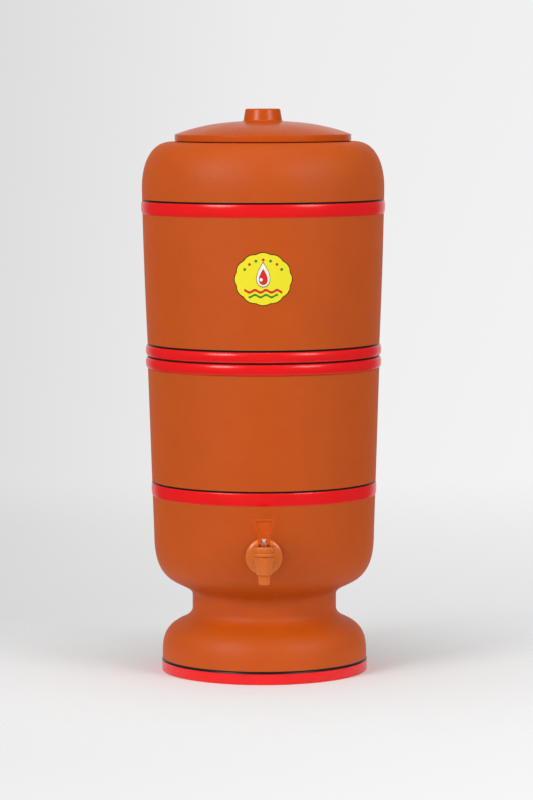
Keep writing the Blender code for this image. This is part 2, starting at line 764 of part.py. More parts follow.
def make_candle(side, unit):
    """One candle: porous shell, carbon core, cup with its hollow stem, gaskets and wing nut."""
    shell_foot = CUP_FOOT + CUP_FLOOR + REST_GAP
    shell_top = shell_foot + CANDLE_HEIGHT
    shoulder = shell_top - CANDLE_CROWN
    bore = CANDLE_RADIUS - CANDLE_WALL
    points = []
    for i in range(ROUND_STEPS + 1):
        angle = math.pi / 2 * i / ROUND_STEPS
        crown = Vector((CANDLE_RADIUS * math.sin(angle), CANDLE_CROWN * math.cos(angle)))
        points.append(Vector((0, shoulder)) + crown)
    points += [Vector((CANDLE_RADIUS, shell_foot)), Vector((bore, shell_foot))]
    for i in range(CURVE_STEPS + 1):
        angle = math.pi / 2 * i / CURVE_STEPS
        vault = Vector((bore * math.cos(angle), (CANDLE_CROWN - CANDLE_WALL) * math.sin(angle)))
        points.append(Vector((0, shoulder)) + vault)
    points[0].x = points[-1].x = 0
    settle(turned(f"candle_shell_{side}", points, INNER_SIDES, CANDLE_CLAY, unit))

    name = f"candle_core_{side}"
    core_height = CANDLE_HEIGHT - CANDLE_CROWN - CORE_HEADROOM
    core = rod(name, bore - CORE_GAP, core_height, INNER_SIDES, Matrix.Identity(4))
    settle(add(name, core, CHARCOAL, unit, (0, 0, shell_foot + core_height / 2)))

    cup_inside = CANDLE_RADIUS + REST_GAP
    cup_radius = cup_inside + CUP_WALL
    cup = [
        (cup_radius, CUP_FOOT + CUP_HEIGHT),
        (cup_radius, CUP_FOOT + CUP_CHAMFER),
        (cup_radius - CUP_CHAMFER, CUP_FOOT),
        (STEM_RADIUS, CUP_FOOT),
        (STEM_RADIUS, STEM_END),
        (STEM_BORE, STEM_END),
        (STEM_BORE, CUP_FOOT + CUP_FLOOR),
        (cup_inside, CUP_FOOT + CUP_FLOOR),
        (cup_inside, CUP_FOOT + CUP_HEIGHT),
    ]
    settle(turned(f"candle_cup_{side}", cup, INNER_SIDES, WHITE_PLASTIC, unit))

    gasket_bore = STEM_RADIUS + REST_GAP
    for name, foot in (
        ("candle_gasket", FLOOR_TOP + REST_GAP),
        ("nut_gasket", FLOOR_UNDERSIDE - REST_GAP - GASKET_THICKNESS),
    ):
        outline = ring(gasket_bore, GASKET_RADIUS, foot, foot + GASKET_THICKNESS)
        settle(turned(f"{name}_{side}", outline, INNER_SIDES, RUBBER, unit))

    nut_foot = NUT_TOP - NUT_HEIGHT
    nut_radius = gasket_bore + NUT_WALL
    hub = ring(gasket_bore, nut_radius, nut_foot, NUT_TOP)
    nut = turned(f"wing_nut_{side}", hub, INNER_SIDES, WHITE_PLASTIC, unit)
    for way in (-1, 1):
        low = (nut_radius - NUT_WALL / 2, -WING_THICKNESS / 2, nut_foot)
        high = (nut_radius + WING_LENGTH, WING_THICKNESS / 2, NUT_TOP - WING_DROP)
        wing = block("wing", low, high)
        wing.transform(Matrix.Rotation(math.pi / 2 * (1 - way), 4, "Z"))
        join(nut, add("wing", wing, None, unit))
    settle(nut)


def make_float_valve(side, unit):
    """The valve at the stem's end: a socket with a nozzle, two lugs and the hinge pin, and the
    arm that hangs from it with its pad and its float."""
    socket = STEM_RADIUS + REST_GAP
    valve_radius = socket + VALVE_WALL
    outline = [
        (valve_radius, VALVE_TOP),
        (valve_radius, SOCKET_FOOT + SKIRT_MARGIN),
        (NOZZLE_ROOT_RADIUS, SOCKET_FOOT - NOZZLE_ROOT_MARGIN),
        (NOZZLE_RADIUS, NOZZLE_END),
        (NOZZLE_BORE, NOZZLE_END),
        (NOZZLE_BORE, VALVE_TOP),
    ]
    valve = turned(f"float_valve_body_{side}", outline, INNER_SIDES, WHITE_PLASTIC, unit)
    side_on = Matrix.Rotation(math.pi / 2, 4, "Z") @ Matrix.Rotation(math.pi / 2, 4, "X")
    root = SOCKET_FOOT + LUG_HOLD - HINGE_HEIGHT
    lug = [
        (HINGE_SETBACK - LUG_RADIUS / 2, root),
        (HINGE_SETBACK - valve_radius + LUG_THICKNESS, root),
    ]
    for i in range(ROUND_STEPS + 1):
        angle = math.pi * (1 + i / ROUND_STEPS)
        lug.append((LUG_RADIUS * math.cos(angle), LUG_RADIUS * math.sin(angle)))
    lug = lug[:1] + lug[:1:-1] + lug[1:2]
    lug_middle = ARM_EYE_WIDTH / 2 + REST_GAP + LUG_THICKNESS / 2
    for way in (-1, 1):
        plate = flat_shape("lug", [lug], LUG_THICKNESS, side_on)
        place = (way * lug_middle, -HINGE_SETBACK, HINGE_HEIGHT)
        join(valve, add("lug", plate, None, unit, place))
    upright = Matrix.Identity(4)
    reamer = rod("socket", socket, SOCKET_DEPTH + CUT_OVERRUN, INNER_SIDES, upright)
    reamer_middle = SOCKET_FOOT + (SOCKET_DEPTH + CUT_OVERRUN) / 2
    cut(valve, add("socket", reamer, None, unit, (0, 0, reamer_middle)))
    across = Matrix.Rotation(math.pi / 2, 4, "Y")
    pin_length = 2 * lug_middle + LUG_THICKNESS
    bore_length = pin_length + CUT_OVERRUN
    bore = rod("hinge_bore", HINGE_PIN_RADIUS + PIN_GAP, bore_length, PIN_SIDES, across)
    cut(valve, add("hinge_bore", bore, None, unit, (0, -HINGE_SETBACK, HINGE_HEIGHT)))
    settle(valve)

    name = f"float_hinge_pin_{side}"
    pin = rod(name, HINGE_PIN_RADIUS, pin_length, PIN_SIDES, across)
    settle(add(name, pin, STEEL, unit, (0, -HINGE_SETBACK, HINGE_HEIGHT)))

    place = (0, -HINGE_SETBACK, HINGE_HEIGHT)
    hinge = guide(f"float_hinge_{side}", place, unit, (-FLOAT_HANG, 0, 0))
    make_float_arm(side, hinge, across)


def make_float_arm(side, hinge, across):
    """The arm, pad and float, drawn level about their hinge and hung from it."""
    half = ARM_THICKNESS / 2
    upright = Matrix.Identity(4)
    name = f"float_arm_{side}"
    arm = add(name, rod(name, ARM_EYE_RADIUS, ARM_EYE_WIDTH, INNER_SIDES, across), WHITE_PLASTIC, hinge)
    bar = block("arm_bar", (-ARM_WIDTH / 2, 0, -half), (ARM_WIDTH / 2, FLOAT_REACH, half))
    join(arm, add("arm_bar", bar, None, hinge))
    cup_radius = PAD_RADIUS + REST_GAP + PAD_CUP_WALL
    cup = rod("pad_cup", cup_radius, PAD_CUP_HEIGHT, INNER_SIDES, upright)
    cup_middle = PAD_CUP_HEIGHT / 2 - half
    join(arm, add("pad_cup", cup, None, hinge, (0, HINGE_SETBACK, cup_middle)))
    saddle = rod("saddle", SADDLE_RADIUS, ARM_THICKNESS, INNER_SIDES, upright)
    join(arm, add("saddle", saddle, None, hinge, (0, FLOAT_REACH, 0)))
    float_foot = half + REST_GAP
    head_foot = float_foot + FLOAT_HEIGHT + REST_GAP
    peg = [
        (0, head_foot + PEG_HEAD_HEIGHT),
        (PEG_RADIUS, head_foot + PEG_HEAD_HEIGHT),
        (PEG_HEAD_RADIUS, head_foot),
        (PEG_RADIUS, head_foot),
        (PEG_RADIUS, 0),
        (0, 0),
    ]
    join(arm, turned("peg", peg, PIN_SIDES, None, hinge, (0, FLOAT_REACH, 0)))
    bore = rod("arm_bore", HINGE_PIN_RADIUS + PIN_GAP, ARM_EYE_WIDTH + CUT_OVERRUN, PIN_SIDES, across)
    cut(arm, add("arm_bore", bore, None, hinge))
    pocket = rod("pad_pocket", PAD_RADIUS + REST_GAP, PAD_CUP_HEIGHT, INNER_SIDES, upright)
    pocket_middle = PAD_SEAT - REST_GAP + PAD_CUP_HEIGHT / 2
    cut(arm, add("pad_pocket", pocket, None, hinge, (0, HINGE_SETBACK, pocket_middle)))
    settle(arm)

    name = f"float_pad_{side}"
    pad = rod(name, PAD_RADIUS, PAD_THICKNESS, INNER_SIDES, upright)
    settle(add(name, pad, RUBBER, hinge, (0, HINGE_SETBACK, PAD_SEAT + PAD_THICKNESS / 2)))

    bore_radius = PEG_RADIUS + REST_GAP
    middle = float_foot + FLOAT_HEIGHT / 2
    points = []
    for i in range(ROUND_STEPS + 1):
        angle = math.pi * i / ROUND_STEPS
        up = math.copysign(abs(math.cos(angle)) ** (2 / FLOAT_POWER), math.cos(angle))
        out = math.sin(angle) ** (2 / FLOAT_POWER)
        radius = bore_radius + (FLOAT_RADIUS - bore_radius) * out
        points.append((radius, middle + FLOAT_HEIGHT / 2 * up))
    name = f"float_{side}"
    settle(turned(name, points, INNER_SIDES, WHITE_PLASTIC, hinge, (0, FLOAT_REACH, 0)))


def make_tap_body(axis, tap, outwards, flange, shank_end, reach):
    """Barrel, spout, elbow, flange and threaded shank, moulded in one piece."""
    barrel = [
        (0, THREAD_TOP),
        (THREAD_RADIUS, THREAD_TOP),
        (THREAD_RADIUS, BARREL_TOP),
        (BARREL_RADIUS - BARREL_EDGE, BARREL_TOP),
        (BARREL_RADIUS, BARREL_TOP - BARREL_EDGE),
        (BARREL_FOOT_RADIUS, BARREL_FOOT + BARREL_EDGE),
        (BARREL_FOOT_RADIUS - BARREL_EDGE, BARREL_FOOT),
        (SPOUT_TOP_RADIUS, BARREL_FOOT),
        (SPOUT_END_RADIUS, SPOUT_END + SPOUT_ROUND),
        (SPOUT_END_RADIUS - SPOUT_ROUND, SPOUT_END),
        (0, SPOUT_END),
    ]
    body = turned("tap_body", barrel, TAP_SIDES, TAP_PLASTIC, tap)
    rim = flange + FLANGE_RIM
    elbow_start = reach - CHAMBER_RADIUS / 2
    inlet_start = reach - CHAMBER_RADIUS / 3
    shank = [
        (0, elbow_start),
        (ELBOW_RADIUS, elbow_start),
        (ELBOW_RADIUS, rim + FLANGE_DOME + FLARE_LENGTH),
        (FLARE_RADIUS, rim + FLANGE_DOME),
    ]
    for out, up in FLANGE_DOME_SHARES:
        shank.append((FLANGE_RADIUS * out, rim + FLANGE_DOME * up))
    shank += [
        (FLANGE_RADIUS, rim),
        (FLANGE_RADIUS, flange),
        (SHANK_RADIUS, flange),
        (SHANK_RADIUS, shank_end + SHANK_CHAMFER),
        (SHANK_RADIUS - SHANK_CHAMFER, shank_end),
        (0, shank_end),
    ]
    place = (0, 0, SHANK_HEIGHT)
    join(body, turned("shank", shank, TAP_SIDES, None, axis, place, outwards))
    inlet = [
        (0, inlet_start),
        (ELBOW_BORE, inlet_start),
        (ELBOW_BORE, rim),
        (SHANK_BORE, flange),
        (SHANK_BORE, shank_end - CUT_OVERRUN),
        (0, shank_end - CUT_OVERRUN),
    ]
    cut(body, turned("inlet", inlet, INNER_SIDES, None, axis, place, outwards))
    chamber = [
        (0, THREAD_TOP + CUT_OVERRUN),
        (CHAMBER_RADIUS, THREAD_TOP + CUT_OVERRUN),
        (CHAMBER_RADIUS, SEAT_HEIGHT),
        (SPOUT_BORE, SEAT_HEIGHT),
        (SPOUT_BORE, SPOUT_END - CUT_OVERRUN),
        (0, SPOUT_END - CUT_OVERRUN),
    ]
    cut(body, turned("valve_chamber", chamber, INNER_SIDES, None, tap))
    settle(body)


def make_tap_seals(axis, outwards, flange, face):
    """The two washers, shaped to the curved wall, and the nut that clamps the tap."""
    place = (0, 0, SHANK_HEIGHT)
    bore = SHANK_RADIUS + REST_GAP
    wall = offset(lower_outside(), REST_GAP)
    wall = [Vector((0, wall[0].y))] + wall + [Vector((0, wall[-1].y))]
    outline = ring(bore, FLANGE_RADIUS - WASHER_INSET, face, flange - REST_GAP)
    washer = turned("outer_washer", outline, TAP_SIDES, RUBBER, axis, place, outwards)
    cut(washer, turned("wall_outside", wall, POT_SIDES, None, axis))
    settle(washer)

    space = offset(lower_inside(), -REST_GAP)[:-1]
    space = [Vector((0, space[0].y))] + space + [Vector((0, space[-1].y))]
    outline = ring(bore, INNER_WASHER_RADIUS, face, flange)
    washer = turned("inner_washer", outline, TAP_SIDES, RUBBER, axis, place, outwards)
    combine(washer, turned("wall_inside", space, POT_SIDES, None, axis), "INTERSECT")
    settle(washer)

    lengthways = Matrix.Rotation(math.pi / 2, 4, "X")
    corner = BACK_NUT_FLATS / 2 / math.cos(math.pi / 6)
    hexagon = rod("back_nut", corner, BACK_NUT_THICKNESS, 6, lengthways)
    place = (0, REST_GAP + BACK_NUT_THICKNESS / 2 - face, SHANK_HEIGHT)
    nut = add("back_nut", hexagon, WHITE_PLASTIC, axis, place)
    tapping = rod("nut_bore", bore, BACK_NUT_THICKNESS + CUT_OVERRUN, TAP_SIDES, lengthways)
    cut(nut, add("nut_bore", tapping, None, axis, place))
    settle(nut)


def make_bonnet(tap):
    """The cap that closes the barrel and guides the stem, with grip ribs round it."""
    lip_top = BONNET_FOOT + BONNET_LIP_HEIGHT
    inside = THREAD_RADIUS + REST_GAP
    underside = BONNET_CROWN - BONNET_TOP
    guide_hole = TAP_STEM_RADIUS + REST_GAP
    outline = [
        (BONNET_CORE_RADIUS - BONNET_EDGE, BONNET_CROWN),
        (BONNET_CORE_RADIUS, BONNET_CROWN - BONNET_EDGE),
        (BONNET_CORE_RADIUS, lip_top),
        (BONNET_LIP_RADIUS - BONNET_EDGE, lip_top),
        (BONNET_LIP_RADIUS, lip_top - BONNET_EDGE),
        (BONNET_LIP_RADIUS, BONNET_FOOT + BONNET_EDGE),
        (BONNET_LIP_RADIUS - BONNET_EDGE, BONNET_FOOT),
        (inside, BONNET_FOOT),
        (inside, underside),
        (guide_hole, underside),
        (guide_hole, BONNET_CROWN),
    ]
    bonnet = turned("bonnet", outline, TAP_SIDES, TAP_PLASTIC, tap)
    middle = (inside + BONNET_CORE_RADIUS) / 2
    rib_radius = BONNET_CORE_RADIUS + RIB_PROUD
    pitch = 2 * math.pi / RIB_COUNT
    ribs = []
    for i in range(RIB_COUNT):
        for radius, share in (
            (middle + BONNET_EDGE, -1),
            (rib_radius, -RIB_SHARE),
            (rib_radius, RIB_SHARE),
        ):
            angle = pitch * (i + share / 2)
            ribs.append((radius * math.cos(angle), radius * math.sin(angle)))
    bore = []
    for i in range(TAP_SIDES):
        angle = 2 * math.pi * i / TAP_SIDES
        bore.append((middle * math.cos(angle), middle * math.sin(angle)))
    rib_foot = lip_top - BONNET_EDGE
    rib_top = BONNET_CROWN - RIB_MARGIN
    crown = flat_shape("ribs", [ribs, bore], rib_top - rib_foot, Matrix.Identity(4))
    join(bonnet, add("ribs", crown, None, tap, (0, 0, (rib_top + rib_foot) / 2)))
    settle(bonnet)


def make_stem(tap):
    """The lifting stem with its eye, its spring collar and the tip that holds the plug."""
    outline = [
        (0, LEVER_PIN_HEIGHT),
        (TAP_STEM_RADIUS, LEVER_PIN_HEIGHT),
        (TAP_STEM_RADIUS, COLLAR_FOOT + COLLAR_THICKNESS),
        (COLLAR_RADIUS, COLLAR_FOOT + COLLAR_THICKNESS),
        (COLLAR_RADIUS, COLLAR_FOOT),
        (STEM_TIP_RADIUS, COLLAR_FOOT),
        (STEM_TIP_RADIUS, COLLAR_FOOT - STEM_TIP_LENGTH),
        (0, COLLAR_FOOT - STEM_TIP_LENGTH),
    ]
    stem = turned("tap_stem", outline, TAP_SIDES, STEM_PLASTIC, tap)
    across = Matrix.Rotation(math.pi / 2, 4, "Y")
    eye = rod("stem_eye", EYE_RADIUS, EYE_WIDTH, TAP_SIDES, across)
    join(stem, add("stem_eye", eye, None, tap, (0, 0, LEVER_PIN_HEIGHT)))
    bore = rod("eye_bore", LEVER_PIN_RADIUS + PIN_GAP, FORK_WIDTH, PIN_SIDES, across)
    cut(stem, add("eye_bore", bore, None, tap, (0, 0, LEVER_PIN_HEIGHT)))
    settle(stem)

    plug_foot = SEAT_HEIGHT + REST_GAP
    plug_top = plug_foot + PLUG_HEIGHT
    pocket = STEM_TIP_RADIUS + REST_GAP
    pocket_foot = COLLAR_FOOT - STEM_TIP_LENGTH - REST_GAP
    outline = [
        (PLUG_RADIUS, plug_top),
        (PLUG_RADIUS, plug_foot + PLUG_CHAMFER),
        (PLUG_RADIUS - PLUG_CHAMFER, plug_foot),
        (0, plug_foot),
    ]
    outline = [(0, pocket_foot), (pocket, pocket_foot), (pocket, plug_top)] + outline
    settle(turned("seat_plug", outline, TAP_SIDES, RUBBER, tap))


def make_spring(tap):
    """The coil that pushes the stem's collar down, from the collar to under the bonnet."""
    foot = COLLAR_FOOT + COLLAR_THICKNESS + REST_GAP + SPRING_WIRE
    top = BONNET_CROWN - BONNET_TOP - REST_GAP - SPRING_WIRE
    radius = COLLAR_RADIUS - SPRING_INSET
    count = SPRING_TURNS * SPRING_TURN_POINTS
    curve = bpy.data.curves.new("return_spring", "CURVE")
    curve.dimensions = "3D"
    curve.bevel_depth = SPRING_WIRE
    curve.bevel_resolution = 0
    curve.use_fill_caps = True
    spline = curve.splines.new("POLY")
    spline.points.add(count)
    for i, node in enumerate(spline.points):
        angle = 2 * math.pi * i / SPRING_TURN_POINTS
        height = foot + (top - foot) * i / count
        node.co = (radius * math.cos(angle), radius * math.sin(angle), height, 1)
    spring = add("return_spring", mesh_of_curve("return_spring", curve, Matrix.Identity(4)), STEEL, tap)
    settle(spring)


def cam_outline():
    """The side of one leg about the pin, as (towards the vessel, up). The foot is an involute:
    its reach below the pin grows by LIFT over the whole TILT, so it stays on the bonnet."""
    reach = PIN_RISE - REST_GAP
    rate = LIFT / TILT
    top = PADDLE_FOOT + LEG_OVERLAP
    half = LEG_THICKNESS / 2
    points = [(half, top), (-half, top), (-half, ANKLE_RISE)]
    cam = []
    for i in range(CAM_STEPS + 1):
        angle = TILT * i / CAM_STEPS
        out = (reach + rate * angle) * math.sin(angle) + rate * math.cos(angle)
        down = (reach + rate * angle) * math.cos(angle) - rate * math.sin(angle)
        cam.append((-out, -down))
    points.append((cam[-1][0], cam[-1][1] + TOE_HEIGHT))
    points += cam[::-1]
    points += [
        (HEEL_REACH - HEEL_ROUND, -reach),
        (HEEL_REACH, HEEL_ROUND - reach),
        (HEEL_REACH, 0),
        (half, ANKLE_RISE),
    ]
    return points[::-1]


def rounded(corners, radius):
    """The outline with each of its corners cut back to an arc."""
    points = []
    for i, corner in enumerate(corners):
        before = corners[i - 1]
        after = corners[(i + 1) % len(corners)]
        start = corner + (before - corner).normalized() * radius
        end = corner + (after - corner).normalized() * radius
        points += arc(start, start.lerp(corner, CORNER_SHARE), end.lerp(corner, CORNER_SHARE), end, CORNER_STEPS)
    return points


def make_lever(tap):
    """The lever: a flared paddle with a sunk front, on a fork whose two feet are cams."""
    lever_pin = (0, 0, LEVER_PIN_HEIGHT)
    slot_top = EYE_RADIUS + REST_GAP
    top = PADDLE_FOOT + PADDLE_HEIGHT
    half_fork = FORK_WIDTH / 2
    half_top = PADDLE_WIDTH / 2
    face_on = Matrix.Rotation(math.pi / 2, 4, "X")
    side_on = Matrix.Rotation(math.pi / 2, 4, "Z") @ face_on
    paddle_top = [Vector((half_top, top)), Vector((-half_top, top))]
    paddle_foot = [Vector((-half_fork, PADDLE_FOOT)), Vector((half_fork, PADDLE_FOOT))]
    outline = rounded(paddle_top + paddle_foot, PADDLE_CORNER)
    blade = flat_shape("lever", [outline], PADDLE_THICKNESS, face_on)
    lever = add("lever", blade, LEVER_PLASTIC, tap, lever_pin)
    lean = (half_top - half_fork) / PADDLE_HEIGHT
    border = PADDLE_BORDER * math.hypot(1, lean)
    panel_top = top - PADDLE_BORDER
    panel_foot = PADDLE_FOOT + PADDLE_BORDER
    wide = half_top - lean * PADDLE_BORDER - border
    narrow = half_fork + lean * PADDLE_BORDER - border
    panel = [
        Vector((wide, panel_top)),
        Vector((-wide, panel_top)),
        Vector((-narrow, panel_foot)),
        Vector((narrow, panel_foot)),
    ]
    sunk = flat_shape("panel", [rounded(panel, PADDLE_CORNER)], 2 * PADDLE_RECESS, face_on)
    place = (0, -PADDLE_THICKNESS / 2, LEVER_PIN_HEIGHT)
    cut(lever, add("panel", sunk, None, tap, place))
    half_bridge = (SLOT_WIDTH + LEG_WIDTH) / 2
    bridge_top = PADDLE_FOOT + LEG_OVERLAP / 2
    crown = [(half_bridge, bridge_top), (-half_bridge, bridge_top)]
    crown += [(-half_bridge, slot_top), (-SLOT_WIDTH / 2, slot_top)]
    for i in range(1, CORNER_STEPS * 2):
        angle = math.pi * i / (CORNER_STEPS * 2)
        crown.append((-SLOT_WIDTH / 2 * math.cos(angle), slot_top + SLOT_CROWN * math.sin(angle)))
    crown += [(SLOT_WIDTH / 2, slot_top), (half_bridge, slot_top)]
    bridge = flat_shape("bridge", [crown], BRIDGE_THICKNESS, face_on)
    join(lever, add("bridge", bridge, None, tap, lever_pin))
    for way in (-1, 1):
        leg = flat_shape("leg", [cam_outline()], LEG_WIDTH, side_on)
        place = (way * half_bridge, 0, LEVER_PIN_HEIGHT)
        join(lever, add("leg", leg, None, tap, place))
    across = Matrix.Rotation(math.pi / 2, 4, "Y")
    bore = rod("lever_bore", LEVER_PIN_RADIUS + PIN_GAP, FORK_WIDTH + CUT_OVERRUN, PIN_SIDES, across)
    cut(lever, add("lever_bore", bore, None, tap, lever_pin))
    settle(lever)

    length = FORK_WIDTH - 2 * LEVER_PIN_INSET
    pin = rod("lever_pin", LEVER_PIN_RADIUS, length, PIN_SIDES, across)
    settle(add("lever_pin", pin, STEEL, tap, lever_pin))


def make_filter():
    """The whole filter, standing with the middle of its box over the origin."""
    flange, face, shank_end, reach = tap_places()
    widest = max(point.x for point in upper_outside())
    setback = (reach + BONNET_LIP_RADIUS - widest) / 2
    axis = guide("vessel_axis", (0, setback, 0))
    tap = guide("tap_axis", (0, -reach, 0), axis)
    outwards = (math.pi / 2, 0, 0)
    make_lower_chamber(axis, flange, shank_end)
    make_upper_chamber(axis)
    make_lid(axis)
    for side, way in (("left", -1), ("right", 1)):
        unit = guide(f"candle_axis_{side}", (way * CANDLE_SPACING / 2, 0, 0), axis)
        make_candle(side, unit)
        make_float_valve(side, unit)
    make_tap_body(axis, tap, outwards, flange, shank_end, reach)
    make_tap_seals(axis, outwards, flange, face)
    make_bonnet(tap)
    make_stem(tap)
    make_spring(tap)
    make_lever(tap)


make_filter()
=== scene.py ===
# %% [markdown]
# # A clay water filter on its pedestal
#
# The object is a two-chamber filter of fired clay. Water is poured into the upper chamber, seeps
# through two candles, runs through their stems into the lower chamber, and leaves by a lever tap.
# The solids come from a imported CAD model, which this script loads and never moves. What follows
# gives them their looks: finer turned shapes where the model is faceted, and a procedural
# material for everything that can be seen, also with the lid and the upper chamber lifted off.

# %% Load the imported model
import math

import bmesh
import bpy
from mathutils import Matrix, Vector
from mathutils.geometry import interpolate_bezier


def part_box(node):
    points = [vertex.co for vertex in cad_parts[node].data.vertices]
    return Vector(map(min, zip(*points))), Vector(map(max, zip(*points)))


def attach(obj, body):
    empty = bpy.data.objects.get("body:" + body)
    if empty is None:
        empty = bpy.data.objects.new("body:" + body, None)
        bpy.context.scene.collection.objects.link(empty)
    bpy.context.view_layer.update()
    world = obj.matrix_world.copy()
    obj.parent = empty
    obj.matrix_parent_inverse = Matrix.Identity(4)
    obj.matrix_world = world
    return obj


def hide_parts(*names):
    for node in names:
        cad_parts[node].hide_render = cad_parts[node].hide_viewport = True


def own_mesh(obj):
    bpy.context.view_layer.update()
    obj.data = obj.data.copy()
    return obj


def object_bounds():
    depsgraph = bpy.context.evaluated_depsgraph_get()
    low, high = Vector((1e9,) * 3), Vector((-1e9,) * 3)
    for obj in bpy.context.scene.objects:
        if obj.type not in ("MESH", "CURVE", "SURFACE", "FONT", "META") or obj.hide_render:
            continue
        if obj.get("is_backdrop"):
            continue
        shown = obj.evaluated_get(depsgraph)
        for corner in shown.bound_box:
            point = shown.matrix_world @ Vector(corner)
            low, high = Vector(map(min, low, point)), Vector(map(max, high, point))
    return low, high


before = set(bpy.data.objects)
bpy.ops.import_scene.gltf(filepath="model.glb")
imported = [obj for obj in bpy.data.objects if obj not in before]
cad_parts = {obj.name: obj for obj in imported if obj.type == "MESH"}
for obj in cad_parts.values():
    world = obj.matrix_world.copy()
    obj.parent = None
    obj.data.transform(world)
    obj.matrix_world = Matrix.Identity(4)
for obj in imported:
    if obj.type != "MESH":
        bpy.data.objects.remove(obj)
cad_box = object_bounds()
print("CAD box, in mm:", [[round(value * 1000, 1) for value in corner] for corner in cad_box])

# %% [markdown]
# ## Where everything stands
#
# The vessel is round about one upright axis, and the tap stands in front of it on an axis of its
# own. Both are read from the boxes of CAD nodes, so the new pieces fit the model wherever it
# stands. From here on, outlines are written in millimetres, because that is how a potter or a
# toolmaker would measure them.

# %% The axes
MM = 0.001


def middle_of(node):
    """The middle of a CAD node's box."""
    low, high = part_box(node)
    return (low + high) / 2


lid_middle = middle_of("lid")
VESSEL = Vector((lid_middle.x, lid_middle.y, 0))
bonnet_middle = middle_of("bonnet")
TAP = Vector((bonnet_middle.x, bonnet_middle.y, 0))
TAP_REACH = (VESSEL.y - TAP.y) / MM
print("vessel axis at y =", round(VESSEL.y / MM, 2), "mm, tap axis", round(TAP_REACH, 2), "mm in front")

# %% [markdown]
# ## Colour
#
# A designer picks colours as hex values, and those are sRGB: they are spaced for the eye. Shaders
# add and multiply light, so they want linear values. One function turns the one into the other.

# %% Hex to linear


def linear(hex_colour):
    """A linear RGBA colour from an sRGB hex value such as "#c6561c"."""
    channels = [int(hex_colour[i : i + 2], 16) / 255 for i in (1, 3, 5)]
    return [c / 12.92 if c <= 0.04045 else ((c + 0.055) / 1.055) ** 2.4 for c in channels] + [1]


print("clay orange in linear light:", [round(value, 3) for value in linear("#c6561c")])

# %% [markdown]
# ## Nodes
#
# A material is a small network. Every pattern below is built from the same step: add a node, set
# it up, and plug in what feeds it. So that step is one function. Its settings are properties of
# the node, its sockets are input values, and its links are the outputs that feed its inputs.

# %% One step of a network


def add_node(tree, kind, settings=None, sockets=None, links=None):
    """A new node with its settings, its input values and the outputs that feed it."""
    node = tree.nodes.new("ShaderNode" + kind)
    for name, value in (settings or {}).items():
        setattr(node, name, value)
    for name, value in (sockets or {}).items():
        node.inputs[name].default_value = value
    for name, source in (links or {}).items():
        tree.links.new(source, node.inputs[name])
    return node


def principled(name, colour, roughness, **sockets):
    """A material whose constant values sit on the shader's own sockets."""
    material = bpy.data.materials.new(name)
    material.use_nodes = True
    shader = material.node_tree.nodes["Principled BSDF"]
    shader.inputs["Base Color"].default_value = linear(colour)
    shader.inputs["Roughness"].default_value = roughness
    for socket, value in sockets.items():
        shader.inputs[socket.replace("_", " ")].default_value = value
    return material


# %% [markdown]
# ## Patterns
#
# Real finishes are never one flat colour. Three small patterns cover this object. A cloud drifts
# slowly between two near tones, as sprayed paint and pressed powder do. A grain is a fine relief,
# as of fired clay or a textured mould. Rings are the level marks that a pot keeps from the wheel,
# and that a brush leaves when the pot turns under it. Each is given its real size in millimetres.

# %% Cloud, grain and rings
# Noise lies between 0 and 1, but hardly ever leaves this part of it.
NOISE_LOW = 0.3
NOISE_HIGH = 0.7


def surface_place(material):
    """The object's own coordinates, in metres."""
    return add_node(material.node_tree, "TexCoord").outputs["Object"]


def cloud(material, size_mm, light, dark):
    """Lets the colour drift between two tones over patches of this size."""
    tree = material.node_tree
    noise = add_node(
        tree,
        "TexNoise",
        sockets={"Scale": 1 / (size_mm * MM), "Detail": 6, "Roughness": 0.62},
        links={"Vector": surface_place(material)},
    )
    ramp = add_node(tree, "ValToRGB", links={"Fac": noise.outputs["Fac"]})
    tones = ((NOISE_LOW, dark), (NOISE_HIGH, light))
    for stop, (position, tone) in zip(ramp.color_ramp.elements, tones):
        stop.position = position
        stop.color = linear(tone)
    tree.links.new(ramp.outputs["Color"], tree.nodes["Principled BSDF"].inputs["Base Color"])


def uneven_gloss(material, size_mm, low, high):
    """Lets the roughness drift between two values over patches of this size."""
    tree = material.node_tree
    noise = add_node(
        tree,
        "TexNoise",
        sockets={"Scale": 1 / (size_mm * MM), "Detail": 3},
        links={"Vector": surface_place(material)},
    )
    spread = add_node(
        tree,
        "MapRange",
        sockets={"From Min": NOISE_LOW, "From Max": NOISE_HIGH, "To Min": low, "To Max": high},
        links={"Value": noise.outputs["Fac"]},
    )
    tree.links.new(spread.outputs["Result"], tree.nodes["Principled BSDF"].inputs["Roughness"])


def relief(material, height, depth_mm):
    """Adds a height to the surface's bump, on top of any that is there."""
    tree = material.node_tree
    normal = tree.nodes["Principled BSDF"].inputs["Normal"]
    under = {"Normal": normal.links[0].from_socket} if normal.links else {}
    sockets = {"Strength": 1, "Distance": depth_mm * MM}
    bump = add_node(tree, "Bump", sockets=sockets, links={"Height": height, **under})
    tree.links.new(bump.outputs["Normal"], normal)


def grain(material, size_mm, depth_mm, stretch=(1, 1, 1)):
    """A fine relief. Stretch makes its grains long: 0.1 is ten times as long along that axis."""
    tree = material.node_tree
    place = add_node(
        tree,
        "Mapping",
        sockets={"Scale": [s / (size_mm * MM) for s in stretch]},
        links={"Vector": surface_place(material)},
    )
    noise = add_node(
        tree,
        "TexNoise",
        sockets={"Scale": 1, "Detail": 5, "Roughness": 0.6},
        links={"Vector": place.outputs["Vector"]},
    )
    relief(material, noise.outputs["Fac"], depth_mm)


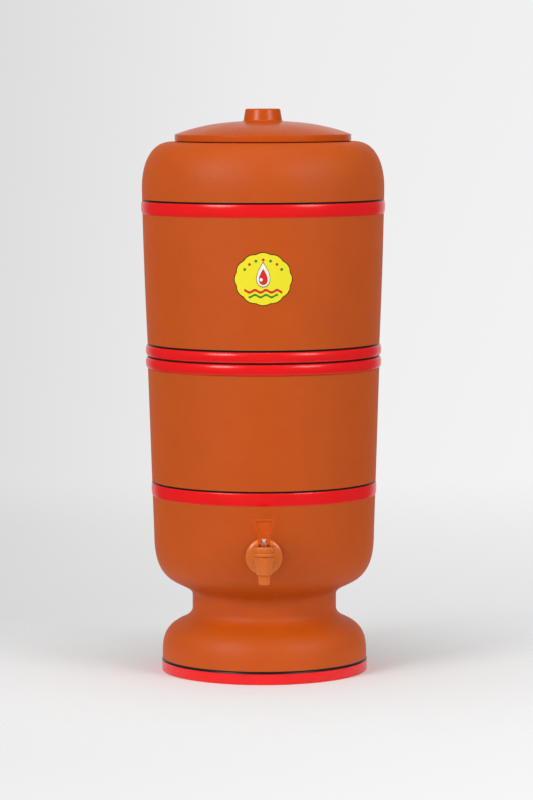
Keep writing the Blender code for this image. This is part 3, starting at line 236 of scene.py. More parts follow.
def rings(material, pitch_mm, depth_mm):
    """Level rings of uneven height, which follow from the height above the floor alone."""
    tree = material.node_tree
    parts = add_node(tree, "SeparateXYZ", links={"Vector": surface_place(material)})
    noise = add_node(
        tree,
        "TexNoise",
        settings={"noise_dimensions": "1D"},
        sockets={"Scale": 1 / (pitch_mm * MM), "Detail": 3},
        links={"W": parts.outputs["Z"]},
    )
    relief(material, noise.outputs["Fac"], depth_mm)


print("patterns: cloud, uneven gloss, grain and rings")

# %% [markdown]
# ## The finishes
#
# The pots are fired clay under a sprayed coat of orange acrylic paint. The coat is thin, so it
# follows the clay's grain and the faint rings of the wheel, and it is satin: broad, soft
# highlights and no mirror. Acrylic has an index of refraction of 1.49, and so dull a coat mirrors
# less than a smooth film: 1.36 matches it.
#
# The bands are alkyd enamel, put on with a soft brush while the pot turns. Enamel levels out as it
# dries, so it is far glossier than the coat. The black lines are the same paint from a liner. The same
# black also fills the seam between the two rim beads, as painted shade for the dark gap there.

# %% Painted clay and enamel
painted_clay = principled(
    "acrylic_paint_on_fired_clay", "#c65204", 0.52, IOR=1.36, Diffuse_Roughness=0.3
)
cloud(painted_clay, 34, "#c85404", "#c45003")
uneven_gloss(painted_clay, 26, 0.50, 0.54)
rings(painted_clay, 5.5, 0.05)
# Grit of 0.2 mm is too fine to show in the render, so it is drawn eight times as coarse.
grain(painted_clay, 1.6, 0.22)

red_enamel = principled("red_alkyd_enamel", "#ea0f12", 0.24, IOR=1.45)
cloud(red_enamel, 30, "#ed1114", "#e70d10")
uneven_gloss(red_enamel, 18, 0.22, 0.26)
grain(red_enamel, 6, 0.01, stretch=(1, 1, 0.4))

black_enamel_and_seam_shade = principled("black_alkyd_enamel_and_seam_shade", "#161213", 0.32, IOR=1.52, Specular_IOR_Level=0.3)
grain(black_enamel_and_seam_shade, 6, 0.01, stretch=(1, 1, 0.4))

bare_clay = principled("bare_fired_clay", "#b5623c", 0.9, IOR=1.45)
cloud(bare_clay, 18, "#bd6a43", "#a95732")
rings(bare_clay, 3.2, 0.12)
grain(bare_clay, 1.4, 0.08)
print("painted clay takes", len(painted_clay.node_tree.nodes), "nodes")

# %% [markdown]
# The lid and the tap are injection-moulded polypropylene. Its skin copies the mould, which is
# lightly spark-eroded for the lid and polished for the tap. Polypropylene has an index of 1.49.
# The lid's skin mirrors less than that, so its index comes down to match. A little light gets in
# too, which the colours take up, since the pieces are small. The lever is a deeper orange than the
# tap. The lifting stem is acetal left in its own colour, since it has to slide.
#
# The grain of a mould is 0.05 mm and less. It is drawn at about a millimetre, so that it shows.

# %% Moulded plastics
lid_plastic = principled(
    "polypropylene_spark_eroded", "#c65104", 0.30, IOR=1.42, Specular_IOR_Level=0.35
)
cloud(lid_plastic, 40, "#c95305", "#c34e02")
uneven_gloss(lid_plastic, 20, 0.27, 0.33)
grain(lid_plastic, 1.2, 0.002)

tap_plastic = principled(
    "polypropylene_polished_mould", "#d56c27", 0.26, IOR=1.49, Specular_IOR_Level=0.4
)
cloud(tap_plastic, 12, "#d96f29", "#d16824")
uneven_gloss(tap_plastic, 8, 0.23, 0.29)
grain(tap_plastic, 1.1, 0.008)

lever_plastic = principled("polypropylene_lever", "#ce510a", 0.24, IOR=1.49, Specular_IOR_Level=0.4)
cloud(lever_plastic, 9, "#d1540c", "#ca4e08")
uneven_gloss(lever_plastic, 6, 0.21, 0.27)
grain(lever_plastic, 1.1, 0.008)

stem_acetal = principled("natural_acetal", "#cdc1b0", 0.38, IOR=1.48)
cloud(stem_acetal, 5, "#d3c8b8", "#c5b8a6")
grain(stem_acetal, 0.8, 0.006, stretch=(1, 1, 0.15))

white_polypropylene = principled("white_polypropylene", "#e4e3df", 0.38, IOR=1.49)
cloud(white_polypropylene, 14, "#e8e7e3", "#dfdeda")
uneven_gloss(white_polypropylene, 8, 0.33, 0.43)
grain(white_polypropylene, 1.0, 0.01)
print("the lid's plastic takes", len(lid_plastic.node_tree.nodes), "nodes")

# %% [markdown]
# Out of sight are the working parts. A candle is a shell of diatomite ceramic, chalky and full of
# pores, round a block of pressed carbon. Gaskets and washers are nitrile rubber with a dull
# bloom. The hinge pins and the spring are drawn stainless steel, which is a metal, so it keeps the
# default index and its fine scratches run along the wire.

# %% Ceramic, carbon, rubber and steel
candle_ceramic = principled("diatomite_ceramic", "#efe9dc", 0.92, IOR=1.46)
cloud(candle_ceramic, 16, "#f3eee2", "#e7dfd0")
rings(candle_ceramic, 2.4, 0.05)
grain(candle_ceramic, 0.9, 0.09)

pressed_carbon = principled("pressed_carbon_block", "#1c1b1b", 0.88)
cloud(pressed_carbon, 3, "#2a2828", "#121111")
grain(pressed_carbon, 0.8, 0.15)

nitrile_rubber = principled("nitrile_rubber", "#262423", 0.66, IOR=1.52)
cloud(nitrile_rubber, 6, "#2e2c2a", "#1f1d1c")
grain(nitrile_rubber, 0.7, 0.03)

drawn_steel = principled("drawn_stainless_steel", "#c9c6c1", 0.26, Metallic=1)
cloud(drawn_steel, 4, "#d2cfca", "#bdbab5")
grain(drawn_steel, 0.5, 0.006, stretch=(0.1, 1, 1))
print(len(bpy.data.materials), "materials so far")

# %% [markdown]
# ## The camera
#
# The picture was taken with a long lens from 3.4 m away and a little above the filter's middle, so
# the rims curve gently and the sides stay upright. The lens follows from the distance and from the
# size of the filter in the frame. The camera also leans by a sixth of a degree.

# %% The camera
CAMERA_AWAY = 3407.5
CAMERA_HEIGHT = 567.8
CAMERA_ASIDE = 2.65
CAMERA_PITCH = math.radians(5.206)
CAMERA_ROLL = math.radians(0.165)
LENS = 162
SENSOR = 36

scene = bpy.context.scene
lens = bpy.data.cameras.new("camera")
lens.lens = LENS
lens.sensor_width = SENSOR
camera = bpy.data.objects.new("camera", lens)
scene.collection.objects.link(camera)
stand = VESSEL + Vector((CAMERA_ASIDE, -CAMERA_AWAY, CAMERA_HEIGHT)) * MM
tilt = Matrix.Rotation(math.pi / 2 - CAMERA_PITCH, 4, "X")
camera.matrix_world = Matrix.Translation(stand) @ tilt @ Matrix.Rotation(-CAMERA_ROLL, 4, "Z")
scene.camera = camera
scene.view_settings.view_transform = "Standard"
print("camera", [round(value, 3) for value in camera.location])

# %% [markdown]
# ## The studio
#
# The room is one pale sweep of paper. It could be a curved sheet, but a wall behind the filter
# would stand in the way of a camera that looks from the back. So the floor is a wide disc that
# fades out at its edge, and what lies behind it is the world: a pale wall, darkest at its left,
# over paler ground, with a soft shade in the corner where the two meet. Cameras and clear pieces
# see that backdrop, and so does whatever mirrors what is behind or under the filter. Elsewhere a
# gloss mirrors the unlit part of the room, as in a real studio. What the world lights gets an even
# fill instead, so the colours stay as they are written.

# %% The world
# A direction has a length of 1, and these places are parts of it: X, Y or Z. The three pairs
# without tones are where a share starts to grow and where it is full.
FILL_TONES = ((-0.3, "#c6c5c5"), (0.3, "#bfbfbf"))
UNLIT_ROOM = 0.12
GROUND_EDGE = (-0.125, -0.17)
FROM_BEHIND = (0.98, 0.74)
FROM_BELOW = (-0.9, -0.5)
WALL_TONES = ((-0.075, "#e0dfdf"), (0.0, "#f0efef"), (0.075, "#f4f3f3"))
GROUND_TONES = ((-0.075, "#f1f0f0"), (0.075, "#f8f7f7"))
CORNER_SHADE = (
    (-0.20, "#ffffff"),
    (-0.172, "#fafafa"),
    (-0.150, "#ececec"),
    (-0.129, "#f6f6f6"),
    (-0.113, "#ffffff"),
    (0.02, "#fcfcfc"),
)


def tone_ramp(tree, position, tones):
    """A colour that follows a position through the given tones, each with its own place."""
    low = tones[0][0]
    high = tones[-1][0]
    reach = {"From Min": low, "From Max": high}
    share = add_node(tree, "MapRange", sockets=reach, links={"Value": position})
    ramp = add_node(tree, "ValToRGB", links={"Fac": share.outputs["Result"]})
    stops = ramp.color_ramp.elements
    while len(stops) < len(tones):
        stops.new(0.5)
    for stop, (place, tone) in zip(stops, tones):
        stop.position = (place - low) / (high - low)
        stop.color = linear(tone)
    return ramp.outputs["Color"]


world = bpy.data.worlds.new("studio")
world.use_nodes = True
scene.world = world
room = world.node_tree
direction = add_node(room, "TexCoord").outputs["Generated"]
way = add_node(room, "SeparateXYZ", links={"Vector": direction}).outputs
ray = add_node(room, "LightPath").outputs
shares = []
for (start, end), part in ((GROUND_EDGE, "Z"), (FROM_BEHIND, "Y"), (FROM_BELOW, "Z")):
    reach = {"From Min": start, "From Max": end}
    share = add_node(room, "MapRange", sockets=reach, links={"Value": way[part]})
    shares.append(share.outputs["Result"])
grounded, not_behind, not_below = shares
sweep = add_node(
    room,
    "MixRGB",
    links={
        "Fac": grounded,
        "Color1": tone_ramp(room, way["X"], WALL_TONES),
        "Color2": tone_ramp(room, way["X"], GROUND_TONES),
    },
)
shaded = add_node(
    room,
    "VectorMath",
    settings={"operation": "MULTIPLY"},
    links={0: sweep.outputs["Color"], 1: tone_ramp(room, way["Z"], CORNER_SHADE)},
)
backdrop = add_node(room, "Background", links={"Color": shaded.outputs["Vector"]})
unlit = add_node(room, "Background", sockets={"Strength": UNLIT_ROOM})
fill = room.nodes["Background"]
room.links.new(tone_ramp(room, way["Z"], FILL_TONES), fill.inputs["Color"])
dim = add_node(room, "Math", {"operation": "MULTIPLY"}, links={0: not_behind, 1: not_below})
mirrored = add_node(
    room,
    "MixShader",
    links={0: dim.outputs["Value"], 1: backdrop.outputs["Background"], 2: unlit.outputs["Background"]},
)
lit = add_node(
    room,
    "MixShader",
    links={0: ray["Is Glossy Ray"], 1: fill.outputs["Background"], 2: mirrored.outputs["Shader"]},
)
seen = add_node(
    room,
    "Math",
    settings={"operation": "MAXIMUM"},
    links={0: ray["Is Camera Ray"], 1: ray["Is Transmission Ray"]},
)
faces = add_node(
    room,
    "MixShader",
    links={0: seen.outputs["Value"], 1: lit.outputs["Shader"], 2: backdrop.outputs["Background"]},
)
room.links.new(faces.outputs["Shader"], room.nodes["World Output"].inputs["Surface"])
print("world with", len(room.nodes), "nodes")

# %% [markdown]
# The floor is real paper: it takes light and keeps the filter's soft shadow. Its colour is painted a
# little darker behind the filter, as painted shade for where the paper would start to rise and turn
# away from the lamps.

# %% The floor
FLOOR_REACH = 0.55
FLOOR_FADE = (0.10, 0.50)
FLOOR_SIDES = 96
FLOOR_DROP = 0.0002
# Painted shade: the floor's colour is darker towards the back.
FLOOR_TONES = ((-0.5, "#f2f5f5"), (0.5, "#eff1f1"))

paper = principled("studio_paper", FLOOR_TONES[0][1], 0.8, Specular_IOR_Level=0.2)
paper_tree = paper.node_tree
shader = paper_tree.nodes["Principled BSDF"].inputs
place = surface_place(paper)
depth = add_node(paper_tree, "SeparateXYZ", links={"Vector": place}).outputs["Y"]
tone = tone_ramp(paper_tree, depth, FLOOR_TONES)
paper_tree.links.new(tone, shader["Base Color"])
away = add_node(
    paper_tree, "VectorMath", settings={"operation": "LENGTH"}, links={"Vector": place}
)
fade = add_node(
    paper_tree,
    "MapRange",
    settings={"interpolation_type": "SMOOTHSTEP"},
    sockets={"From Min": FLOOR_FADE[0], "From Max": FLOOR_FADE[1], "To Min": 1, "To Max": 0},
    links={"Value": away.outputs["Value"]},
)
paper_tree.links.new(fade.outputs["Result"], shader["Alpha"])

sheet = bmesh.new()
bmesh.ops.create_circle(sheet, cap_ends=True, segments=FLOOR_SIDES, radius=FLOOR_REACH)
floor_mesh = bpy.data.meshes.new("floor")
sheet.to_mesh(floor_mesh)
sheet.free()
floor_mesh.materials.append(paper)
floor = bpy.data.objects.new("floor", floor_mesh)
floor.location = (VESSEL.x, VESSEL.y, -FLOOR_DROP)
scene.collection.objects.link(floor)
floor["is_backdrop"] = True
print("floor", FLOOR_REACH * 2, "m across")

# %% [markdown]
# Two softboxes stand in front, left and right of the camera and above it. Their reflections give
# away where they are: each red bead shows two soft bright patches, and so does the knob. The left
# one is stronger. A third, weaker one hangs overhead for the lid and the shoulder. Softboxes are
# large, so the shadows are soft.

# %% Three softboxes
LAMP_AWAY = 4.0
AIM_HEIGHT = 0.28
# Name, degrees round the filter, degrees above level, side in metres, watts
SOFTBOXES = (
    ("left_softbox", -43, 28, 1.4, 76),
    ("right_softbox", 46, 28, 1.4, 51),
    ("top_softbox", 0, 76, 2.0, 16),
)

for name, turn, rise, size, power in SOFTBOXES:
    lamp = bpy.data.lights.new(name, "AREA")
    lamp.shape = "SQUARE"
    lamp.size = size
    lamp.energy = power
    box = bpy.data.objects.new(name, lamp)
    raised = Matrix.Rotation(math.radians(-rise), 3, "X") @ Vector((0, -1, 0))
    towards = Matrix.Rotation(math.radians(turn), 3, "Z") @ raised
    box.location = VESSEL + Vector((0, 0, AIM_HEIGHT)) + towards * LAMP_AWAY
    box.rotation_euler = towards.to_track_quat("Z", "Y").to_euler()
    box.visible_camera = False
    scene.collection.objects.link(box)
    print(name, power, "W at", [round(value, 2) for value in box.location])

# %% [markdown]
# ## The lathe
#
# Pots, lids and most tap parts are turned shapes: a potter's wheel and a lathe make them from one
# outline. Blender's Screw modifier could spin it, but the paint on these pots changes in exact
# rings, so each stretch of the outline carries its own material. A small function that builds the
# rings itself keeps the colour borders crisp. An outline runs down the outer side of the piece.

# %% Turned pieces
POT_SIDES = 144
SMALL_SIDES = 64
SAME_POINT = 0.001
CREASE = math.radians(30)


def new_piece(name, mesh, axis=Vector()):
    """An object for this mesh, smooth between its sharp edges."""
    mesh.shade_smooth()
    mesh.set_sharp_from_angle(angle=CREASE)
    piece = bpy.data.objects.new(name, mesh)
    piece.location = axis
    scene.collection.objects.link(piece)
    return piece


def turned(name, runs, sides, axis=Vector()):
    """Turns runs of (material, [(radius, height), ...]) about an upright axis, in millimetres.
    The outline closes on itself, unless it starts and ends on the axis."""
    materials = []
    points = []
    marks = []
    for material, run in runs:
        if material not in materials:
            materials.append(material)
        for radius, height in run:
            if points and math.dist(points[-1], (radius, height)) < SAME_POINT:
                continue
            points.append((radius, height))
            marks.append(materials.index(material))
    rings = []
    corners = []
    for radius, height in points:
        count = sides if radius > SAME_POINT else 1
        rings.append([len(corners) + k % count for k in range(sides + 1)])
        for k in range(count):
            angle = 2 * math.pi * k / sides
            corners.append(Vector((radius * math.cos(angle), radius * math.sin(angle), height)) * MM)
    faces = []
    paints = []
    for i, upper in enumerate(rings):
        if i + 1 == len(rings) and points[0][0] <= SAME_POINT:
            break
        lower = rings[(i + 1) % len(rings)]
        for k in range(sides):
            face = [upper[k], lower[k], lower[k + 1], upper[k + 1]]
            faces.append(list(dict.fromkeys(face)))
            paints.append(marks[(i + 1) % len(rings)])
    mesh = bpy.data.meshes.new(name)
    mesh.from_pydata(corners, [], faces)
    mesh.polygons.foreach_set("material_index", paints)
    for material in materials:
        mesh.materials.append(material)
    return new_piece(name, mesh, axis)


def at(axis, x, y, z):
    """The point this many millimetres from an axis, as a point of the world."""
    return axis + Vector((x, y, z)) * MM


def keep(piece, body, slot, *nodes):
    """Lets the piece ride on its body and hides the plain nodes that it stands for. The slot is not
    used.
    """
    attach(piece, body)
    if nodes:
        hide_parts(*nodes)
    print(piece.name, "on", body, "with", len(piece.data.polygons), "faces")
    return piece


print("pots have", POT_SIDES, "sides, small pieces", SMALL_SIDES)

# %% [markdown]
# Three kinds of curve make up every outline: a half-round bead, a swelling that leads from an
# upright wall through a slanting turn into another upright wall, and a rounded corner.

# %% Curves of an outline
BEAD_STEPS = 14
SWELL_STEPS = 14
CORNER_STEPS = 6
# How far the handles of the curves reach, as a share of the straight way between two points
SWELL_HANDLES = (0.54, 0.30, 0.535, 0.285)
CORNER_HANDLE = 0.55


def evenly(start, end, steps):
    """Values in equal steps, both ends included."""
    return [start + (end - start) * i / steps for i in range(steps + 1)]


def arc(start, start_handle, end_handle, end, steps):
    """Points along one Bezier curve, both ends included."""
    ends = [Vector((*point, 0)) for point in (start, start_handle, end_handle, end)]
    return [Vector(point[:2]) for point in interpolate_bezier(*ends, steps + 1)]


def bead(top, foot, proud):
    """A half-round moulding that stands proud of the wall from top to foot."""
    points = []
    for angle in evenly(0, math.pi, BEAD_STEPS):
        along = top.lerp(foot, (1 - math.cos(angle)) / 2)
        points.append(along + Vector((proud * math.sin(angle), 0)))
    return points


def swell(wide, turn, slope, narrow):
    """The curve from a wide upright wall, through its turn, into a narrow upright one."""
    rise = math.copysign(1, narrow.y - wide.y)
    upright = Vector((0, rise))
    way = Vector((-math.cos(slope), rise * math.sin(slope)))
    long = (turn - wide).length
    short = (narrow - turn).length
    down, onto, off, up = SWELL_HANDLES
    first = arc(wide, wide + upright * long * down, turn - way * long * onto, turn, SWELL_STEPS)
    second = arc(turn, turn + way * short * off, narrow - upright * short * up, narrow, SWELL_STEPS)
    return first + second[1:]


def softened(corners, radius):
    """An open outline whose inner corners are rounded to this radius."""
    corners = [Vector(corner) for corner in corners]
    points = [corners[0]]
    for before, corner, after in zip(corners, corners[1:], corners[2:]):
        start = corner + (before - corner).normalized() * radius
        end = corner + (after - corner).normalized() * radius
        handles = start.lerp(corner, CORNER_HANDLE), end.lerp(corner, CORNER_HANDLE)
        points += arc(start, *handles, end, CORNER_STEPS)
    return points + [corners[-1]]


def between(low, high, height):
    """The point at this height on the straight line through two outline points."""
    return low.lerp(high, (height - low.y) / (high.y - low.y))


print("a bead has", BEAD_STEPS, "steps, a swelling", 2 * SWELL_STEPS, "and a corner", CORNER_STEPS)

# %% [markdown]
# ## The lower pot
#
# Bowl, neck and foot are thrown as one hollow pot. Outside it is painted down to the floor; the water
# space, the rim that the upper pot rests on and the hollow of the foot stay bare clay. The enamel lies
# on a half-round rim, on a flat bead round the wall and on the foot's edge. A black liner stroke runs
# along the top of the two lower bands. The seam above the rim is black too, as painted shade for the
# dark gap between the two beads.

# %% The lower pot
RIM = Vector((109.9, 299.5))
RIM_BEAD = 10.1
RIM_PROUD = 1.8
BOWL_TOP = Vector((104.75, 129.8))
BOWL_TURN = Vector((84.5, 84.7))
BOWL_SLOPE = math.radians(25.9)
NECK_TOP = Vector((68.45, 71.5))
NECK_FOOT = Vector((68.45, 59.9))
FOOT_TURN = Vector((79.65, 47.7))
FOOT_SLOPE = math.radians(24.1)
FOOT_TOP = Vector((97.2, 19.3))
LOWER_LINE = 181.9
LOWER_BAND = (180.1, 168.0)
BAND_PROUD = 0.8
WATER_FLOOR = 81
WATER_WALL = 96.25
MOUTH_HEIGHT = 300.3
HOLLOW_EDGE = Vector((88.7, 15.05))
HOLLOW_TURN = Vector((76.18, 39.94))
HOLLOW_NECK = Vector((59.95, 55.65))

rim_foot = RIM - Vector((0, RIM_BEAD))
line_top, band_top, band_foot = (
    between(BOWL_TOP, rim_foot, height) for height in (LOWER_LINE, *LOWER_BAND)
)
water_foot = (WATER_WALL, BOWL_TOP.y)
water_handles = (86.08, WATER_FLOOR), (WATER_WALL, 95.64)
water_side = arc((50, WATER_FLOOR), *water_handles, water_foot, SWELL_STEPS)
foot_hollow = swell(HOLLOW_EDGE, HOLLOW_TURN, FOOT_SLOPE, HOLLOW_NECK)
bowl = swell(BOWL_TOP, BOWL_TURN, BOWL_SLOPE, NECK_TOP)
pedestal = swell(FOOT_TOP, FOOT_TURN, FOOT_SLOPE, NECK_FOOT)[::-1]
lower_pot = turned(
    "lower_pot",
    [
        (bare_clay, [(0, WATER_FLOOR)] + water_side),
        (bare_clay, softened([water_foot, (101.4, MOUTH_HEIGHT), (109.0, MOUTH_HEIGHT)], 1.2)),
        # Painted shade: black on the rim's outer edge darkens the gap under the upper pot's bead.
        (black_enamel_and_seam_shade, [(109.6, 300.0), RIM]),
        (red_enamel, bead(RIM, rim_foot, RIM_PROUD)),
        (painted_clay, [rim_foot - Vector((0.5, 0.1)), rim_foot - Vector((0.5, 0.6))]),
        (painted_clay, [rim_foot - Vector((0.1, 1.1)), line_top]),
        (black_enamel_and_seam_shade, [band_top]),
        (red_enamel, bead(band_top, band_foot, BAND_PROUD)),
        (painted_clay, bowl + pedestal + [(97.2, 12.4)]),
        (black_enamel_and_seam_shade, [(97.25, 11.3), (97.7, 10.7), (97.8, 9.9)]),
        (red_enamel, [(97.8, 0.7), (97.6, 0.2), (97.2, 0)]),
        (bare_clay, softened([(97.2, 0), (HOLLOW_EDGE.x, 0), HOLLOW_EDGE], 0.8) + foot_hollow),
        (bare_clay, softened([HOLLOW_NECK, (HOLLOW_NECK.x, 70), (0, 70)], 5)),
    ],
    POT_SIDES,
    VESSEL,
)

# %% [markdown]
# The tap's shank needs a hole through the bowl. A Boolean cuts it, once, and the result is kept as
# the pot's mesh. The hole's own wall gets the first material of the pot, which is bare clay.

# %% Holes
DRILL_SIDES = 48


def worked_out(piece):
    """The mesh of a piece with its modifiers or its bevel worked out."""
    bpy.context.view_layer.update()
    graph = bpy.context.evaluated_depsgraph_get()
    return bpy.data.meshes.new_from_object(piece.evaluated_get(graph))


def combined(body, tool, operation):
    """Joins the tool to the body or cuts it away, and keeps the result as the body's mesh."""
    step = body.modifiers.new("tool", "BOOLEAN")
    step.operation = operation
    step.solver = "EXACT"
    step.object = tool
    mesh = worked_out(body)
    body.modifiers.clear()
    body.data = mesh
    mesh.shade_smooth()
    mesh.set_sharp_from_angle(angle=CREASE)
    bpy.data.objects.remove(tool, do_unlink=True)


def rod(radius, start, end):
    """A round bar between two points of the world, in metres, to join or to cut with."""
    work = bmesh.new()
    ends = {"radius1": radius, "radius2": radius, "cap_ends": True}
    bmesh.ops.create_cone(work, segments=DRILL_SIDES, depth=(end - start).length, **ends)
    mesh = bpy.data.meshes.new("rod")
    work.to_mesh(mesh)
    work.free()
    bar = bpy.data.objects.new("rod", mesh)
    turn = (end - start).to_track_quat("Z", "Y").to_matrix().to_4x4()
    bar.matrix_world = Matrix.Translation((start + end) / 2) @ turn
    scene.collection.objects.link(bar)
    return bar


SHANK_HEIGHT = 121.7
SHANK_HOLE = 8.6
inner_end = at(VESSEL, 0, -78, SHANK_HEIGHT)
outer_end = at(VESSEL, 0, -112, SHANK_HEIGHT)
combined(lower_pot, rod(SHANK_HOLE * MM, inner_end, outer_end), "DIFFERENCE")
keep(lower_pot, "lower", "painted_terracotta", "lower_chamber")

# %% [markdown]
# ## The upper pot
#
# Its shoulder isn't a quarter circle: it is fuller, close to a superellipse, which the potter gets
# by pressing a rib against the turning wall. The wall widens upwards and swells by half a
# millimetre on the way. Below, a stepped spigot drops into the lower pot's mouth.

# %% The upper pot
SHOULDER_TOP = Vector((86.6, 502.5))
SHOULDER_FOOT = Vector((114.6, 458.0))
SHOULDER_POWER = 2.25
WALL_BELLY = 0.55
UPPER_FOOT = 300.6
SHOULDER_STEPS = 26
WALL_STEPS = 12
UPPER_LINE = 448.7
UPPER_BAND = (446.9, 434.8)
UPPER_PROUD = 1.1
RIM_LINE = 312.8
INNER_TOP = Vector((106.1, 458))
MOUTH = Vector((81, 493.5))
SPIGOT = 100.4

rim_top = Vector((109.9, 310.9))
rim_base = Vector((109.9, 301.1))


def upper_wall(height):
    """The outer wall of the upper pot at this height."""
    share = (height - rim_top.y) / (SHOULDER_FOOT.y - rim_top.y)
    straight = between(rim_top, SHOULDER_FOOT, height)
    return straight + Vector((4 * WALL_BELLY * share * (1 - share), 0))


def wall_run(top, foot):
    """Points of the wall from one height down to another."""
    return [upper_wall(height) for height in evenly(top, foot, WALL_STEPS)]


def shoulder(wall_foot, crown):
    """A superellipse from the top of a wall up and in to a level crown."""
    points = []
    for angle in evenly(0, math.pi / 2, SHOULDER_STEPS):
        out = abs(math.cos(angle)) ** (2 / SHOULDER_POWER)
        up = math.sin(angle) ** (2 / SHOULDER_POWER)
        reach = wall_foot.x - crown.x
        points.append(Vector((crown.x + reach * out, wall_foot.y + (crown.y - wall_foot.y) * up)))
    return points


band_top, band_foot = (upper_wall(height) for height in UPPER_BAND)
upper_pot = turned(
    "upper_pot",
    [
        (bare_clay, softened([(0, 301.6), (101.4, 301.6), INNER_TOP], 10)),
        (bare_clay, shoulder(INNER_TOP, MOUTH)),
        (bare_clay, softened([MOUTH, (75, 494.1), (75, 502.5), (75.9, 502.5)], 0.8)[:-1]),
        (painted_clay, shoulder(SHOULDER_FOOT, SHOULDER_TOP)[::-1]),
        (painted_clay, wall_run(SHOULDER_FOOT.y, UPPER_LINE)),
        (black_enamel_and_seam_shade, [band_top]),
        (red_enamel, bead(band_top, band_foot, UPPER_PROUD)),
        (painted_clay, wall_run(UPPER_BAND[1], RIM_LINE)),
        (black_enamel_and_seam_shade, [rim_top]),
        (red_enamel, bead(rim_top, rim_base, RIM_PROUD)),
        # Painted shade: black under the bead darkens the seam between the two pots.
        (black_enamel_and_seam_shade, [(108.8, UPPER_FOOT)]),
        (bare_clay, [(SPIGOT, UPPER_FOOT), (SPIGOT, 291.8), (SPIGOT - 1.2, 290.6), (0, 290.6)]),
    ],
    POT_SIDES,
    VESSEL,
)
CANDLE_ASIDE = 48
CANDLE_HOLE = 6
for way in (-1, 1):
    aside = way * CANDLE_ASIDE
    drill = rod(CANDLE_HOLE * MM, at(VESSEL, aside, 0, 288), at(VESSEL, aside, 0, 304))
    combined(upper_pot, drill, "DIFFERENCE")
keep(upper_pot, "upper", "painted_terracotta", "upper_chamber")

# %% [markdown]
# ## The lid
#
# The lid is one moulding of even wall: a shallow dome with a hollow knob, a straight rim, and a lip
# underneath that centres it in the mouth. Turned as a full cross-section, it also looks right from
# below when it is lifted. Mould makers round every outer edge, here by about half a millimetre, and
# leave a narrow ledge where dome and rim meet.

# %% The lid
DOME_STEPS = 22
DOME_FOOT = 509.5
DOME_RISE = 12.4
DOME_REACH = 83
DOME_POWER = 2.5
DOME_EDGE = 81.6
KNOB_FOOT = 21
KNOB_HOLLOW = 15.9
RIM_OUT = 83.4
RIM_UNDER = 503.4
LIP_OUT = 79.5
LIP_TOP = 502.8
LIP_IN = 71.6
LID_WALL = 2.6


def dome(radius, drop=0):
    """The dome's outer face at this radius, or the face this far below it."""
    rise = DOME_RISE * (1 - (radius / DOME_REACH) ** DOME_POWER)
    return Vector((radius, DOME_FOOT + rise - drop))


def dome_run(start, end, drop=0):
    """Points of the dome from one radius to another."""
    return [dome(radius, drop) for radius in evenly(start, end, DOME_STEPS)]


knob = softened([(0, 533.4), (16.4, 533.4), (18.3, 521.9), dome(KNOB_FOOT)], 1.3)
rim_edge = softened(
    [dome(DOME_EDGE), (RIM_OUT, 509.3), (RIM_OUT, RIM_UNDER), (LIP_OUT, RIM_UNDER), (LIP_OUT, LIP_TOP)],
    0.4,
)
lip_under = dome(LIP_IN, LID_WALL)
lip = softened([(LIP_OUT, LIP_TOP), (74, LIP_TOP), (74, 494.3), (LIP_IN, 494.3), lip_under], 0.6)
inside = dome_run(LIP_IN, KNOB_HOLLOW, LID_WALL)
inside += softened([dome(KNOB_HOLLOW, LID_WALL), (13.8, 530.8), (0, 530.8)], 0.9)
lid_side = knob + dome_run(KNOB_FOOT, DOME_EDGE) + rim_edge + lip + inside
lid = turned("moulded_lid", [(lid_plastic, lid_side)], POT_SIDES, VESSEL)
keep(lid, "top_lid", "lid_plastic", "lid")

# %% [markdown]
# ## The tap
#
# The tap's body is moulded in one piece: a tapered barrel with a narrower spout, an elbow, a domed
# flange and the shank that goes through the wall. Barrel and shank are turned on two axes that
# cross, so they are made apart and joined by a Boolean, and then bored hollow.

# %% The tap's body
FORWARD = Matrix.Rotation(math.pi / 2, 4, "X")
FLANGE = 106.94
FLANGE_SIDE = 17.1


def turned_forward(name, material, outline, sides):
    """A piece turned about the shank's axis. Heights are distances in front of the vessel's axis."""
    piece = turned(name, [(material, outline)], sides, at(VESSEL, 0, 0, SHANK_HEIGHT))
    piece.matrix_world = Matrix.Translation(piece.location) @ FORWARD
    return piece


barrel = [(0, 133), (8.2, 133), (8.2, 126.1), (9.95, 126.1), (7.25, 108.7), (5.7, 108.7)]
barrel = softened(barrel, 0.5)
barrel += softened([(5.7, 108.7), (4.9, 99.3), (0, 99.3)], 1.3)[1:]
tap = turned("moulded_tap", [(tap_plastic, barrel)], SMALL_SIDES, TAP)
elbow_end = (4.3, FLANGE + 12.1)
dome_top = (7.8, FLANGE + 4.6)
flange_edge = (FLANGE_SIDE, FLANGE + 2.0)
shank = [(0, 132.4), (4.3, 132.4), elbow_end]
shank += arc(elbow_end, (4.4, FLANGE + 8.2), (5.6, FLANGE + 5.2), dome_top, 8)
shank += arc(dome_top, (12.4, FLANGE + 4.6), (15.8, FLANGE + 3.5), flange_edge, 10)
shank += softened([flange_edge, (FLANGE_SIDE, FLANGE), (8, FLANGE)], 0.3)
shank += [(8, 82.4), (7.2, 81.57), (0, 81.57)]
combined(tap, turned_forward("shank", tap_plastic, shank, SMALL_SIDES), "UNION")
inlet = [(0, 133), (2.6, 133), (2.6, 109.34), (4.5, FLANGE), (4.5, 79.5), (0, 79.5)]
combined(tap, turned_forward("inlet", tap_plastic, inlet, DRILL_SIDES), "DIFFERENCE")
hollow = [(0, 135), (6.2, 135), (6.2, 112), (3.4, 112), (3.4, 97.3), (0, 97.3)]
combined(tap, turned("valve_chamber", [(tap_plastic, hollow)], DRILL_SIDES, TAP), "DIFFERENCE")
keep(tap, "lower", "tap_plastic", "tap_body")

